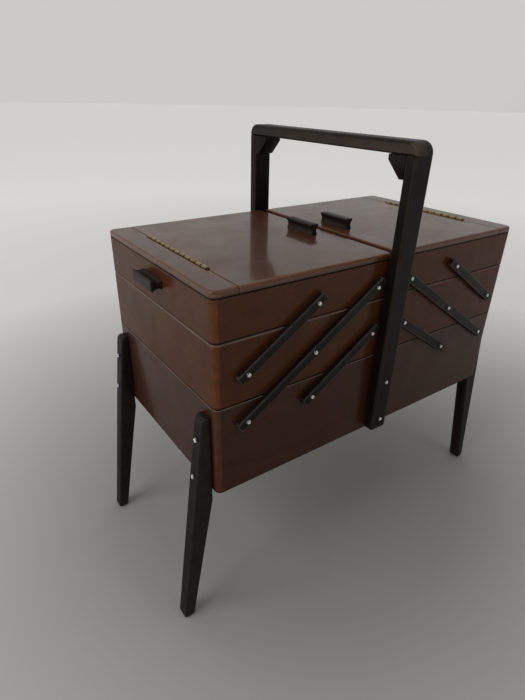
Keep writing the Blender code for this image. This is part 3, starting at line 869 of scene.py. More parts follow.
# ---- bolts -------------------------------------------------------------------------------
@dataclass(frozen=True)
class Bolt:
    """Domed cross-recessed machine screw with a hexagonal nut."""

    head_radius: float = 0.0029
    head_height: float = 0.0021
    shank_radius: float = 0.0015
    nut_flat: float = 0.0029
    nut_thickness: float = 0.0024
    recess_half_width: float = 0.00038
    recess_reach: float = 0.0014
    recess_depth: float = 0.0009
    recess_slope: float = 0.00022
    dome: tuple[float, ...] = (0.06, 0.13, 0.20, 0.28, 0.36, 0.44, 0.52, 0.60, 0.70, 0.80, 0.89, 0.96)
    dome_power: float = 2.1
    ease: float = 0.0003
    under_rim: float = 0.985
    tip: tuple[float, float] = (0.0006, 0.0009)
    tip_share: float = 0.7
    # Where on the head's radius the darker rim starts, how wide it fades in, and how dark the bolt is behind the
    # head.
    dirt_from: float = 0.58
    dirt_spread: float = 0.26
    dark_behind: float = 0.3
    head_zone: float = 0.0005
    steps: int = 36

    def drop(self, u: float, v: float) -> float:
        """Depth of the cross recess at a point of the head.

        Args:
            u: first coordinate from the head's centre.
            v: second coordinate from the head's centre.

        Returns:
            How far the surface is pressed in, in metres.
        """
        narrow, wide = min(abs(u), abs(v)), max(abs(u), abs(v))
        soft = self.recess_slope
        side = min(max((self.recess_half_width + soft - narrow) / soft, 0.0), 1.0)
        end = min(max((self.recess_reach + soft - wide) / (2.5 * soft), 0.0), 1.0)
        return self.recess_depth * side * end

    def soil(self, start: Vector, direction: Vector) -> Mask:
        """Darkening towards the rim of the head, and a fixed darkening behind it.

        Args:
            start: middle of the head's underside.
            direction: unit vector from the head to the nut.

        Returns:
            The mask.
        """
        def mask(point: Vector) -> float:
            """Darkening at a point.

            Args:
                point: the point.

            Returns:
                0 where it is left as it is, 1 where it is darkest.
            """
            depth = (point - start).dot(direction)
            if depth >= self.head_zone:
                return self.dark_behind
            radius = (point - start - direction * depth).length
            return min(max((radius / self.head_radius - self.dirt_from) / self.dirt_spread, 0.0), 1.0)

        return mask

    def shape(self, start: Vector, direction: Vector, grip: float, twist: float) -> bmesh.types.BMesh:
        """Build the bolt.

        Args:
            start: middle of the head's underside.
            direction: unit vector from the head to the nut.
            grip: length between head and nut.
            twist: turn of the recess in degrees.

        Returns:
            The closed mesh.
        """
        across = Matrix.Rotation(math.radians(twist), 3, direction) @ direction.orthogonal().normalized()
        other = direction.cross(across)

        def spot(radius: float, angle: float, depth: float) -> Point:
            """A point at a radius, an angle and a depth along the bolt."""
            u, v = radius * math.cos(angle), radius * math.sin(angle)
            return tuple(start + direction * depth + across * u + other * v)

        turns = [2 * math.pi * index / self.steps for index in range(self.steps)]
        loops = []
        for share in self.dome:
            radius = self.head_radius * share
            height = self.head_height * math.sqrt(max(1 - share ** self.dome_power, 0.0))
            loops.append([
                spot(radius, turn, self.drop(radius * math.cos(turn), radius * math.sin(turn)) - height)
                for turn in turns])
        loops.append([spot(self.head_radius, turn, -self.ease) for turn in turns])
        loops.append([spot(self.head_radius * self.under_rim, turn, 0.0) for turn in turns])
        for radius, depth in ((self.shank_radius, 0.0), (self.shank_radius, grip)):
            loops.append([spot(radius, turn, depth) for turn in turns])
        for inset, depth in ((self.ease, 0.0), (0.0, self.ease), (0.0, self.nut_thickness - self.ease),
                             (self.ease, self.nut_thickness)):
            ring = []
            for turn in turns:
                corner = math.cos((turn + math.pi / 6) % (math.pi / 3) - math.pi / 6)
                ring.append(spot(self.nut_flat / corner - inset, turn, grip + depth))
            loops.append(ring)
        end = grip + self.nut_thickness
        for radius, depth in ((self.shank_radius, end), (self.shank_radius, end + self.tip[0]),
                              (self.shank_radius * self.tip_share, end + self.tip[1])):
            loops.append([spot(radius, turn, depth) for turn in turns])
        return loft(loops)


# ---- the box -----------------------------------------------------------------------------
@dataclass
class Carcass:
    """Four walls of one tier, with rounded corners, eased arrises and a rebate for its board."""

    shop: Workshop
    node: str
    body: str
    wall: float = 0.010
    outer_corner: float = 0.0074
    inner_corner: float = 0.003
    finish: Finish = WALNUT
    # True paints a highlight along the rim's top arris and shade on the rim's top face only; False paints shade on
    # the upper half of the top arris, under the lid.
    pale_top: bool = True
    top_edge: float = 0.0013
    bottom_edge: float = 0.0011
    lip_edge: float = 0.0009
    rebate: float = 0.0045
    rebate_width: float = 0.005
    bottom_band: float = 0.0012
    top_band: float = 0.0016
    lip_band: float = 0.001
    end_wall_beyond: float = 0.1
    worn_beyond: float = 0.2
    worn_points: tuple[int, int] = (2, 6)
    worn_depth: float = 0.001
    # How far in from the outer face the painted seam shade reaches.
    dirt_depth: float = 0.004

    def radii(self, inset: float, low_x: float, high_x: float) -> list[float]:
        """Corner radii of the outline moved in by inset.

        Args:
            inset: distance from the outer faces.
            low_x: lowest X of the tier.
            high_x: highest X of the tier.

        Returns:
            Radii in the order that rounded_outline takes.
        """
        at_high = self.outer_corner if high_x > self.end_wall_beyond else self.inner_corner
        at_low = self.outer_corner if low_x < -self.end_wall_beyond else self.inner_corner
        return [max(radius - inset, SMALLEST_RADIUS) for radius in (at_high, at_high, at_low, at_low)]

    def section(self, low_z: float, high_z: float) -> Outline:
        """Section through a wall, from the outer face's foot over the rim to the board's rebate.

        Args:
            low_z: height of the wall's foot.
            high_z: height of its rim.

        Returns:
            (distance in from the outer face, height) points.
        """
        ledge = low_z + self.rebate
        recess = self.wall - self.rebate_width
        return [
            (self.bottom_edge + self.bottom_band, low_z),
            *[(inset, low_z + drop) for inset, drop in arris(self.bottom_edge)],
            (0.0, low_z + self.bottom_edge + self.bottom_band), (0.0, high_z - self.top_edge - self.top_band),
            *[(inset, high_z - drop) for inset, drop in reversed(arris(self.top_edge))],
            *[(self.wall - inset, high_z - drop) for inset, drop in arris(self.lip_edge)],
            (self.wall, high_z - self.lip_edge - self.lip_band), (self.wall, ledge + self.lip_band),
            (self.wall, ledge), (recess, ledge), (recess, low_z)]

    def build(self) -> None:
        """Build the walls."""
        low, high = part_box(self.node)
        section = self.section(low.z, high.z)
        loops, lengths = [], None
        for inset, z in section:
            outline = rounded_outline((low.x + inset, low.y + inset), (high.x - inset, high.y - inset),
                                      self.radii(inset, low.x, high.x))
            if lengths is None:
                lengths = [0.0]
                for first, second in zip(outline, outline[1:]):
                    lengths.append(lengths[-1] + math.dist(first, second))
            loops.append([(u, v, z) for u, v in outline])
        bm = loft(loops, closed=True)
        count = len(loops[0])
        bm.verts.index_update()
        places, pale_mark, soiled, pale = {}, {}, {}, {}
        for vert in bm.verts:
            key, spot, inset = tuple(vert.co), vert.index % count, section[vert.index // count][0]
            places[key] = (lengths[spot], vert.co.z, inset)
            outer = abs(vert.co.x) > self.worn_beyond and inset < self.worn_depth
            on_corner = self.worn_points[0] <= spot % CORNER_POINTS <= self.worn_points[1]
            pale_mark[key] = 1.0 if outer and on_corner else 0.0
            # Painted shade at the foot and at the rim of each wall, where the next tier or a lid meets it.
            below = vert.co.z - low.z < JUST_OVER * self.bottom_edge
            above = high.z - vert.co.z < (TINY if self.pale_top else 0.5 * self.top_edge)
            soiled[key] = 1.0 if (below or above) and inset < self.dirt_depth else 0.0
            # Painted highlight along the top arris, just below the seam with the tier above.
            arris_here = TINY < high.z - vert.co.z < 0.8 * self.top_edge and inset < self.top_edge
            pale[key] = 1.0 if self.pale_top and arris_here else 0.0
        self.shop.piece(f"{self.node}_walls", bm, self.finish, self.body, (self.node,),
                        grain=lambda point: places[tuple(point)],
                        worn=lambda point: pale_mark[tuple(point)],
                        grime=lambda point: soiled[tuple(point)],
                        polish=lambda point: pale[tuple(point)])


@dataclass
class Lid:
    """Hinged lid and the fixed rail behind it, both with a notch for the hinge."""

    shop: Workshop
    side: Side
    edge: float = 0.0033
    edge_drop: float = 0.0025
    sharp: float = 0.0006
    under_edge: float = 0.0006
    notch_half_length: float = 0.0712
    notch_depth: float = 0.0019
    outer_corner: float = 0.0074
    inner_corner: float = 0.0030
    rail_far_edge: float = 0.65
    lid_far_edge: float = 0.35
    under_band: float = 0.0016
    top_band: float = 0.0018
    edge_steps: int = 7

    def outline(self, low: Vector, high: Vector, seam_at_high: bool, radius_far: float, far_edge: float,
                inset: float) -> Outline:
        """Outline of a panel with its hinge notch, moved in by an inset.

        Args:
            low: panel's lowest corner.
            high: panel's highest corner.
            seam_at_high: True if the hinge lies at the panel's highest X.
            radius_far: corner radius at the end away from the hinge.
            far_edge: how much of the inset the end away from the hinge takes, from 0 to 1.
            inset: how far the long faces move in.

        Returns:
            The outline, anticlockwise.
        """
        at_seam = inset * self.sharp / self.edge
        at_far = inset * far_edge
        far_radius = max(radius_far - at_far, SMALLEST_RADIUS)
        seam_radius = SMALLEST_RADIUS
        half = self.notch_half_length
        deep = self.notch_depth + at_seam
        if seam_at_high:
            radii = [seam_radius, seam_radius, far_radius, far_radius]
            box = (low.x + at_far, low.y + inset), (high.x - at_seam, high.y - inset)
            wall = high.x - at_seam
            notch = [(wall, -half), (high.x - deep, -half), (high.x - deep, half), (wall, half)]
            at = CORNER_POINTS
        else:
            radii = [far_radius, far_radius, seam_radius, seam_radius]
            box = (low.x + at_seam, low.y + inset), (high.x - at_far, high.y - inset)
            wall = low.x + at_seam
            notch = [(wall, half), (low.x + deep, half), (low.x + deep, -half), (wall, -half)]
            at = 3 * CORNER_POINTS
        points = rounded_outline(*box, radii)
        return points[:at] + notch + points[at:]

    def panel(self, node: str, body: str, seam_at_high: bool, radius_far: float, far_edge: float) -> None:
        """Build one panel.

        Args:
            node: the frame's node that it replaces.
            body: the body that it rides on.
            seam_at_high: True if the hinge lies at the panel's highest X.
            radius_far: corner radius at the end away from the hinge.
            far_edge: share of the edge rounding that the far end takes.
        """
        low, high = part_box(node)
        levels = [(self.under_edge, low.z), (0.4 * self.under_edge, low.z + 0.4 * self.under_edge),
                  (0.0, low.z + self.under_edge), (0.0, low.z + self.under_band)]
        squash = self.edge_drop / self.edge
        levels += [(inset, high.z - drop * squash) for inset, drop in reversed(arris(self.edge, self.edge_steps))]
        levels.append((self.edge + self.top_band, high.z))
        loops = []
        for inset, z in levels:
            outline = self.outline(low, high, seam_at_high, radius_far, far_edge, inset)
            loops.append([(u, v, z) for u, v in outline])
        # Painted shade along the panel's lowest rounded edge, in the gap beneath it.
        seam = JUST_OVER * self.under_edge
        self.shop.piece(f"{node}_panel", loft(loops), TOP_WALNUT, body, (node,),
                        grime=lambda point: 1.0 if TINY < point.z - low.z < seam else 0.0)

    def build(self) -> None:
        """Build the lid and its rail."""
        name, right = self.side.label, self.side is Side.RIGHT
        self.panel(f"{name}_hinge_rail", f"{name}_top_drawer", not right, self.outer_corner, self.rail_far_edge)
        self.panel(f"{name}_lid", f"{name}_lid_assembly", right, self.inner_corner, self.lid_far_edge)


@dataclass
class Hinge:
    """Brass piano hinge let into the seam between a lid and its rail."""

    shop: Workshop
    side: Side
    half_length: float = 0.070
    knuckles: int = 12
    knuckle_radius: float = 0.0019
    pin_radius: float = 0.0008
    leaf_thickness: float = 0.0009
    play: float = 0.0001
    knuckle_gap: float = 0.0003
    # Length at each end of a knuckle that holds its end ring; beside each gap, half of it is painted dark as
    # shade.
    dirty_end: float = 0.0022
    knuckle_ease: float = 0.00018
    knuckle_turn: float = 345.0
    knuckle_steps: int = 23
    leaf_offset: float = 0.0003
    leaf_top: float = 0.0005
    leaf_bottom: float = 0.0056
    leaf_corner: float = 0.0002
    leaf_guard: float = 0.00012
    pin_end: float = 0.0003
    pin_end_share: float = 0.6

    def knuckle(self, axis: Vector, low_y: float, high_y: float) -> bmesh.types.BMesh:
        """One rolled knuckle, bored for the pin.

        Args:
            axis: a point on the hinge's axis.
            low_y: its first end.
            high_y: its other end.

        Returns:
            The closed mesh.
        """
        ease, bore = self.knuckle_ease, self.pin_radius + self.play
        radius, end_reach = self.knuckle_radius, self.dirty_end
        profile = ((radius - ease, low_y), (radius, low_y + ease), (radius, low_y + end_reach),
                   (radius, high_y - end_reach), (radius, high_y - ease), (radius - ease, high_y),
                   (bore, high_y), (bore, low_y))
        loops = []
        for radius, y in profile:
            ring = arc(axis.x, axis.z, radius, 0, self.knuckle_turn, self.knuckle_steps)
            loops.append([(u, y, v) for u, v in ring])
        return loft(loops, closed=True)

    def leaf(self, axis: Vector, sign: int, first: int) -> bmesh.types.BMesh:
        """One leaf: the plate against its panel and every second knuckle.

        Args:
            axis: a point on the hinge's axis.
            sign: +1 if the plate lies on the +X side of the axis.
            first: index of its first knuckle.

        Returns:
            The mesh.
        """
        near, far = self.leaf_offset, self.leaf_offset + self.leaf_thickness
        low, high = sorted((axis.x + sign * near, axis.x + sign * far))
        top, bottom = axis.z - self.pin_radius - self.leaf_top, axis.z - self.leaf_bottom
        outline = rounded_outline((low, bottom), (high, top), [self.leaf_corner] * 4, 2, self.leaf_guard)
        plate = loft([[(u, y, v) for u, v in outline] for y in (-self.half_length, self.half_length)])
        pitch = 2 * self.half_length / self.knuckles
        parts = [plate]
        for index in range(first, self.knuckles, 2):
            low_y = -self.half_length + pitch * index
            parts.append(self.knuckle(axis, low_y + self.knuckle_gap, low_y + pitch - self.knuckle_gap))
        return merged(parts)

    def soil(self, point: Vector) -> float:
        """Painted shade in the gaps between the knuckles.

        Args:
            point: a point of a leaf.

        Returns:
            1 next to a gap, 0 elsewhere.
        """
        pitch = 2 * self.half_length / self.knuckles
        across = (point.y + self.half_length) % pitch
        return 1.0 if min(across, pitch - across) < self.knuckle_gap + 0.5 * self.dirty_end else 0.0

    def build(self) -> None:
        """Build both leaves and the pin."""
        name, sign = self.side.label, self.side.value
        low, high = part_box(f"{name}_hinge_pin")
        axis = (low + high) / 2
        self.shop.piece(f"{name}_piano_hinge_rail_leaf", self.leaf(axis, sign, 0), BRASS, f"{name}_top_drawer",
                        (f"{name}_hinge_leaf_rail",), grime=self.soil)
        self.shop.piece(f"{name}_piano_hinge_lid_leaf", self.leaf(axis, -sign, 1), BRASS, f"{name}_lid_assembly",
                        (f"{name}_hinge_leaf_lid",), grime=self.soil)
        reach, radius = self.half_length, self.pin_radius
        tip, ease = radius * self.pin_end_share, self.pin_end
        rings = [(tip, -reach), (radius, -reach + ease), (radius, reach - ease), (tip, reach)]
        pin = turned(rings, Vector((axis.x, 0.0, axis.z)), Vector((0.0, 1.0, 0.0)))
        self.shop.piece(f"{name}_piano_hinge_pin", pin, BRASS, f"{name}_top_drawer", (f"{name}_hinge_pin",))


@dataclass
class Pull:
    """Flared finger pull, waisted in section and straight along its length."""

    shop: Workshop
    length: float = 0.048
    end_edge: float = 0.0011
    end_band: float = 0.001
    profile: tuple[Spot, ...] = (
        (0.0046, 0.0), (0.0045, 0.0007), (0.0040, 0.0018), (0.0035, 0.0032), (0.0033, 0.0048), (0.0035, 0.0064),
        (0.0041, 0.0080), (0.0051, 0.0094), (0.0059, 0.0103), (0.0061, 0.0110), (0.0058, 0.0117), (0.0051, 0.0122),
        (0.0040, 0.0125))

    def section(self, inset: float) -> Outline:
        """Cross-section of the pull.

        Args:
            inset: how far the section is shrunk at a rounded end.

        Returns:
            (across, out) points.
        """
        height = self.profile[-1][1]
        shrunk = [(across - inset, min(max(out, inset), height - inset)) for across, out in self.profile]
        return shrunk + [(-across, out) for across, out in reversed(shrunk)]

    def build(self, name: str, node: str, body: str, place: Placer) -> None:
        """Build one pull.

        Args:
            name: the piece's name.
            node: the frame's node that it replaces.
            body: the body that it rides on.
            place: turns (across, along, out) into a point.
        """
        half = self.length / 2
        stations = [(-half + drop, inset) for inset, drop in arris(self.end_edge, 3)]
        stations.append((-half + self.end_edge + self.end_band, 0.0))
        stations += [(-y, inset) for y, inset in reversed(stations)]
        loops = [[place(across, y, out) for across, out in self.section(inset)] for y, inset in stations]
        self.shop.piece(name, loft(loops), ESPRESSO, body, (node,), grain=lambda p: (p.y, p.x, p.z))


@dataclass
class SideArms:
    """The six swinging arms of one half, with the bolts that hold them."""

    shop: Workshop
    side: Side
    step: tuple[float, float] = (0.083, 0.0545)
    width: float = 0.011
    thickness: float = 0.006
    overhang: float = 0.0115
    corner: float = 0.0026
    edge: float = 0.0010
    under_edge: float = 0.0005
    corner_steps: int = 4
    corner_guard: float = 0.0008
    face_guard: float = 0.0009
    wall_y: float = 0.125
    wall_thickness: float = 0.0101
    standoff: float = 0.0009
    head_gap: float = 0.00005
    first_twist: float = 11.0
    long_arm_twist: float = 37.0
    short_arm_twist: float = 53.0
    bolt: Bolt = Bolt()

    def pivot(self, column: int, tier: int) -> Spot:
        """Place of a pivot.

        Args:
            column: 0 for the outer column, counting inwards.
            tier: 0 for the base, counting up.

        Returns:
            (x, z) of the pivot.
        """
        low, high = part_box(f"{self.side.label}_front_base_bolt")
        x0, z0 = (low.x + high.x) / 2, (low.z + high.z) / 2
        return x0 - self.side.value * self.step[0] * column, z0 + self.step[1] * tier

    def arm(self, kind: str, face: Face, start: Spot, spans: int) -> None:
        """Build one arm.

        Args:
            kind: long, lower or upper.
            face: front or rear.
            start: (x, z) of its lower pivot.
            spans: number of tiers that it bridges.
        """
        step = Vector((-self.side.value * self.step[0], self.step[1]))
        along = step.normalized()
        across = Vector((-along.y, along.x))
        length = step.length * spans

        def outline(inset: float) -> Outline:
            """Arm's outline.

            Args:
                inset: how far it is moved in.

            Returns:
                (along, across) points.
            """
            reach, half = self.overhang - inset, self.width / 2 - inset
            radius = max(self.corner - inset, SMALLEST_BAR_RADIUS)
            return rounded_outline((-reach, -half), (length + reach, half), [radius] * 4, self.corner_steps,
                                   self.corner_guard)

        def place(u: float, v: float, level: float) -> Point:
            """Point on the arm.

            Args:
                u: distance along the arm from its lower pivot.
                v: distance across it.
                level: distance out from the wall.

            Returns:
                The point.
            """
            x = start[0] + along.x * u + across.x * v
            z = start[1] + along.y * u + across.y * v
            return x, face.value * (self.wall_y + level), z

        def grain(point: Vector) -> Point:
            """Grain coordinates of a point: the fibres run along the arm.

            Args:
                point: the point.

            Returns:
                (along, across, out).
            """
            u = (point.x - start[0]) * along.x + (point.z - start[1]) * along.y
            v = (point.x - start[0]) * across.x + (point.z - start[1]) * across.y
            return u, v, point.y

        name = f"{self.side.label}_{face.label}_{kind}_arm"
        bm = slab(outline, self.standoff, self.standoff + self.thickness, self.under_edge, self.edge, place,
                  self.face_guard)
        self.shop.piece(f"{name}_bar", bm, ARM_ESPRESSO, f"{self.side.label}_{kind}_arm_pair", (name,), grain)

    def bolt_at(self, name: str, face: Face, spot: Spot, body: str, replaces: Sequence[str],
                twist: float) -> None:
        """Build one bolt with its nut.

        Args:
            name: the piece's name.
            face: front or rear.
            spot: (x, z) of its axis.
            body: the body that it rides on.
            replaces: the frame's nodes that it stands for.
            twist: turn of its recess in degrees.
        """
        outer = self.wall_y + self.standoff + self.thickness
        start = Vector((spot[0], face.value * (outer + self.head_gap), spot[1]))
        grip = self.standoff + self.thickness + self.wall_thickness
        inwards = Vector((0.0, -face.value, 0.0))
        bm = self.bolt.shape(start, inwards, grip, twist)
        self.shop.piece(name, bm, NICKEL, body, replaces, smooth=BOLT_SMOOTHING,
                        grime=self.bolt.soil(start, inwards))

    def build(self) -> None:
        """Build every arm and bolt of the half."""
        name = self.side.label
        bodies = {Tier.BASE: "base", Tier.MIDDLE: f"{name}_middle_drawer", Tier.TOP: f"{name}_top_drawer"}
        twist = self.first_twist
        for face in Face:
            label = f"{name}_{face.label}"
            self.arm("long", face, self.pivot(0, 0), 2)
            self.arm("lower", face, self.pivot(1, 0), 1)
            self.arm("upper", face, self.pivot(0, 1), 1)
            for tier, body in bodies.items():
                node = f"{label}_{tier.name.lower()}_bolt"
                self.bolt_at(f"{node}_set", face, self.pivot(tier.value, tier.value), body, (node,), twist)
                twist += self.long_arm_twist
            for kind, column, tier in (("lower", 1, 0), ("upper", 0, 1)):
                for end in (0, 1):
                    spot = self.pivot(column + end, tier + end)
                    title = f"{label}_{kind}_arm_bolt_{'high' if end else 'low'}"
                    self.bolt_at(title, face, spot, f"{name}_{kind}_arm_pair", (), twist)
                    twist += self.short_arm_twist


@dataclass
class Leg:
    """Tapered splayed leg with a rounded shoulder, screwed to the box's end by two screws."""

    shop: Workshop
    side: Side
    face: Face
    depth: float = 0.017
    outer_y: float = 0.1155
    top_thickness: float = 0.0099
    foot_outer: float = 0.0437
    foot_inner: float = 0.0302
    kink: float = 0.170
    shoulder: float = 0.0062
    edge: float = 0.0026
    edge_steps: int = 6
    edge_band: float = 0.001
    crown_steps: int = 8
    foot_ease: float = 0.0022
    inner_sink: float = 0.6
    screws: tuple[float, float] = (0.204, 0.249)
    screw_sink: float = 0.0004
    screw_wall: float = 0.0097
    first_twist: float = 30.0
    twist_step: float = 41.0
    bolt: Bolt = Bolt(head_radius=0.0034, head_height=0.0022, recess_half_width=0.00045, recess_reach=0.0017)

    def outline(self, top: float, inset: float) -> Outline:
        """Leg seen from the front.

        Args:
            top: height of its top.
            inset: how far the outline is moved in.

        Returns:
            (distance out from the box's end, height) points.
        """
        lean = math.atan2(self.foot_outer - self.top_thickness, top)
        centre = self.top_thickness - self.shoulder, top - self.shoulder
        radius = max(self.shoulder - inset, SMALLEST_BAR_RADIUS)
        crown = arc(*centre, radius, math.degrees(-lean) + 8, 90, self.crown_steps)
        foot = self.foot_ease
        wall = CLEARANCE + min(inset, 0.0008)
        inner, outer, crest = self.foot_inner + inset, self.foot_outer - inset, top - inset
        kink = self.kink - self.inner_sink * inset
        return [
            (wall, kink), (wall + (inner - wall) * 0.02, kink * 0.98),
            (inner, foot + inset), (inner + foot, inset), (self.foot_outer - foot - inset, inset),
            (outer - 0.0005, foot * 0.35 + inset), (outer, foot + inset), (outer - 0.0006, 0.006 + inset),
            (centre[0] + radius + 0.0008, centre[1] - 0.005), *crown, (0.0012 + inset * 0.5, crest),
            (wall + 0.0002, crest - 0.0001), (wall, crest - 0.0006), (wall, 0.195)]

    def build(self) -> None:
        """Build the leg and its screws."""
        node = f"{self.face.label}_{self.side.label}_leg"
        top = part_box(node)[1].z
        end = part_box("base_carcass")[1].x
        outer, inner = self.outer_y, self.outer_y - self.depth
        stations = [(outer - drop, inset) for inset, drop in arris(self.edge, self.edge_steps)]
        stations.append((outer - self.edge - self.edge_band, 0.0))
        stations += [(outer + inner - y, inset) for y, inset in reversed(stations)]
        loops = []
        for y, inset in stations:
            loops.append([(self.side.value * (end + out), self.face.value * y, z)
                          for out, z in self.outline(top, inset)])
        self.shop.piece(f"{node}_post", loft(loops), ESPRESSO, "base", (node,), grain=lambda p: (p.z, p.x, p.y))
        for index, z in enumerate(self.screws):
            share = z / top
            out = self.foot_outer + (self.top_thickness - self.foot_outer) * share
            start = Vector((self.side.value * (end + out - self.screw_sink),
                            self.face.value * (outer + inner) / 2, z))
            inwards = Vector((-self.side.value, 0.0, 0.0))
            bm = self.bolt.shape(start, inwards, out + self.screw_wall, self.first_twist + self.twist_step * index)
            self.shop.piece(f"{node}_screw_{index + 1}", bm, NICKEL, "base", smooth=BOLT_SMOOTHING,
                            grime=self.bolt.soil(start, inwards))


@dataclass
class Handle:
    """Fixed carrying handle: two posts, a grip across them and a block in each corner."""

    shop: Workshop
    width: float = 0.0245
    thickness: float = 0.0134
    edge: float = 0.0030
    inner_edge: float = 0.0014
    corner: float = 0.0125
    standoff: float = 0.0005
    block_width: float = 0.0237
    block_along_grip: float = 0.0225
    block_along_post: float = 0.0224
    block_end: float = 0.0054
    block_edge: float = 0.0007
    edge_steps: int = 6
    edge_band: float = 0.001
    least_edge: float = 0.0004
    corner_steps: int = 8
    post_corner_steps: int = 7
    post_guard: float = 0.0010
    screws: tuple[float, float] = (0.1995, 0.2535)
    nut_face: float = 0.1150
    first_twist: float = 20.0
    twist_step: float = 67.0
    knock: Point = (0.002, 0.004, 0.008)
    knock_reach: float = 0.012
    knock_pale: float = 0.55
    bolt: Bolt = Bolt()

    def reach(self, face: Face) -> float:
        """Distance of the grip's end from the middle at one face."""
        low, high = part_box("handle_grip")
        return abs(low.y) if face is Face.FRONT else abs(high.y)

    def inner_at(self, face: Face, z: float) -> float:
        """Distance of a post's inner face from the middle.

        Args:
            face: front or rear.
            z: height.

        Returns:
            The distance, which grows with height where the post leans.
        """
        at_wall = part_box("base_carcass")[1].y + self.standoff
        foot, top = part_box(f"{face.label}_handle_post")[0].z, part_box("handle_grip")[0].z
        lean = self.reach(face) - self.thickness - at_wall
        return at_wall + lean * (z - foot) / (top - foot)

    def post(self, face: Face) -> None:
        """Build one post.

        Args:
            face: front or rear.
        """
        node = f"{face.label}_handle_post"
        low_z, grip_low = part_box(node)[0].z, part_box("handle_grip")[0].z
        half = self.width / 2
        levels = [(0.0020, low_z), (0.0010, low_z + 0.0003), (0.0003, low_z + 0.0010), (0.0, low_z + 0.0020),
                  (0.0, low_z + 0.004), (0.0, grip_low - 0.0020), (0.0, grip_low - 0.0004),
                  (0.0003, grip_low - 0.0001)]
        loops = []
        for inset, z in levels:
            inner = self.inner_at(face, z)
            near, far = max(self.inner_edge - inset, self.least_edge), max(self.edge - inset, self.least_edge)
            outline = rounded_outline(
                (inner + inset, -half + inset), (inner + self.thickness - inset, half - inset),
                [far, far, near, near], self.post_corner_steps, self.post_guard)
            loops.append([(x, face.value * y, z) for y, x in outline])
        self.shop.piece(f"{node}_bar", loft(loops), ESPRESSO, "base", (node,), grain=lambda p: (p.z, p.x, p.y))
        for index, z in enumerate(self.screws):
            outer = self.inner_at(face, z) + self.thickness
            start, inwards = Vector((0.0, face.value * outer, z)), Vector((0.0, -face.value, 0.0))
            bm = self.bolt.shape(start, inwards, outer - self.nut_face + 0.0001,
                                 self.first_twist + self.twist_step * index)
            self.shop.piece(f"{node}_screw_{index + 1}", bm, NICKEL, "base", smooth=BOLT_SMOOTHING,
                            grime=self.bolt.soil(start, inwards))

    def grip(self) -> None:
        """Build the cross bar."""
        low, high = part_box("handle_grip")
        half = self.width / 2
        stations = [(-half + drop, inset) for inset, drop in arris(self.edge, self.edge_steps)]
        stations.append((-half + self.edge + self.edge_band, 0.0))
        stations += [(-x, inset) for x, inset in reversed(stations)]
        loops = []
        for x, inset in stations:
            radius, top, under = self.corner - inset, high.z - inset, low.z + inset * 0.4
            front, rear = low.y + inset, high.y - inset
            outline = [(front + 0.0003, under), (front + 0.0015, under), (rear - 0.0015, under),
                       (rear - 0.0003, under), (rear, under + 0.0004)]
            outline += arc(rear - radius, top - radius, radius, 0, 90, self.corner_steps)
            outline += [(rear - radius - 0.002, top), (front + radius + 0.002, top)]
            outline += arc(front + radius, top - radius, radius, 90, 180, self.corner_steps)
            outline.append((front, under + 0.0004))
            loops.append([(x, y, z) for y, z in outline])
        knocked = Vector((-half + self.knock[0], low.y + self.knock[1], high.z - self.knock[2]))
        self.shop.piece(
            "handle_grip_bar", loft(loops), ESPRESSO, "base", ("handle_grip",), grain=lambda p: (p.y, p.x, p.z),
            polish=lambda p: self.knock_pale * max(0.0, 1.0 - (p - knocked).length / self.knock_reach))

    def block(self, face: Face) -> None:
        """Build one corner block.

        Args:
            face: front or rear.
        """
        node = f"{face.label}_corner_block"
        low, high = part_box(node)
        top = high.z
        wall, wall_low = self.inner_at(face, high.z) - CLEARANCE, self.inner_at(face, low.z) - CLEARANCE
        half = self.block_width / 2
        stations = [(-half + drop, inset) for inset, drop in arris(self.block_edge, 2)]
        stations += [(-x, inset) for x, inset in reversed(stations)]
        loops = []
        for x, inset in stations:
            along_grip = wall - self.block_along_grip + inset
            below = top - self.block_along_post + inset
            slope = inset * 0.3
            outline = [(wall, top), (along_grip, top), (along_grip, top - self.block_end + slope),
                       (wall_low - self.block_end + slope, below), (wall_low, below)]
            loops.append([(x, face.value * y, z) for y, z in outline])
        self.shop.piece(f"{node}_wedge", loft(loops), ESPRESSO, "base", (node,), grain=lambda p: (p.z, p.x, p.y),
                        worn=lambda p: 0.0)

    def build(self) -> None:
        """Build the whole handle."""
        for face in Face:
            self.post(face)
            self.block(face)
        self.grip()


@dataclass
class Box:
    """Base, trays, boards, lids, hinges and pulls."""

    shop: Workshop

    def pulls(self, side: Side) -> None:
        """Build the two pulls of one half.

        Args:
            side: which half.
        """
        name, sign = side.label, side.value
        lid_low, lid_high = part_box(f"{name}_lid_pull")
        end_low, end_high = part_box(f"{name}_end_pull")
        lid_x, lid_z = (lid_low.x + lid_high.x) / 2, lid_low.z - CLEARANCE
        end_x, end_z = min(abs(end_low.x), abs(end_high.x)) - CLEARANCE, (end_low.z + end_high.z) / 2

        def on_lid(across: float, along: float, out: float) -> Point:
            """Point of the lid's pull."""
            return lid_x + across, along, lid_z + out

        def on_end(across: float, along: float, out: float) -> Point:
            """Point of the end's pull."""
            return sign * (end_x + out), along, end_z + across

        pull = Pull(self.shop)
        pull.build(f"{name}_lid_finger_pull", f"{name}_lid_pull", f"{name}_lid_assembly", on_lid)
        pull.build(f"{name}_end_finger_pull", f"{name}_end_pull", f"{name}_top_drawer", on_end)

    def build(self) -> None:
        """Build everything but arms, legs and handle."""
        Carcass(self.shop, "base_carcass", "base", finish=SHADED_BASE_WALNUT).build()
        self.shop.dress_node("base_bottom", BOARD)
        for side in Side:
            name = side.label
            Carcass(self.shop, f"{name}_middle_tray", f"{name}_middle_drawer", top_edge=0.0022).build()
            Carcass(self.shop, f"{name}_top_tray", f"{name}_top_drawer", top_edge=0.0007,
                    pale_top=False).build()
            self.shop.dress_node(f"{name}_middle_bottom", BOARD)
            self.shop.dress_node(f"{name}_top_bottom", BOARD)
            Lid(self.shop, side).build()
            Hinge(self.shop, side).build()
            self.pulls(side)


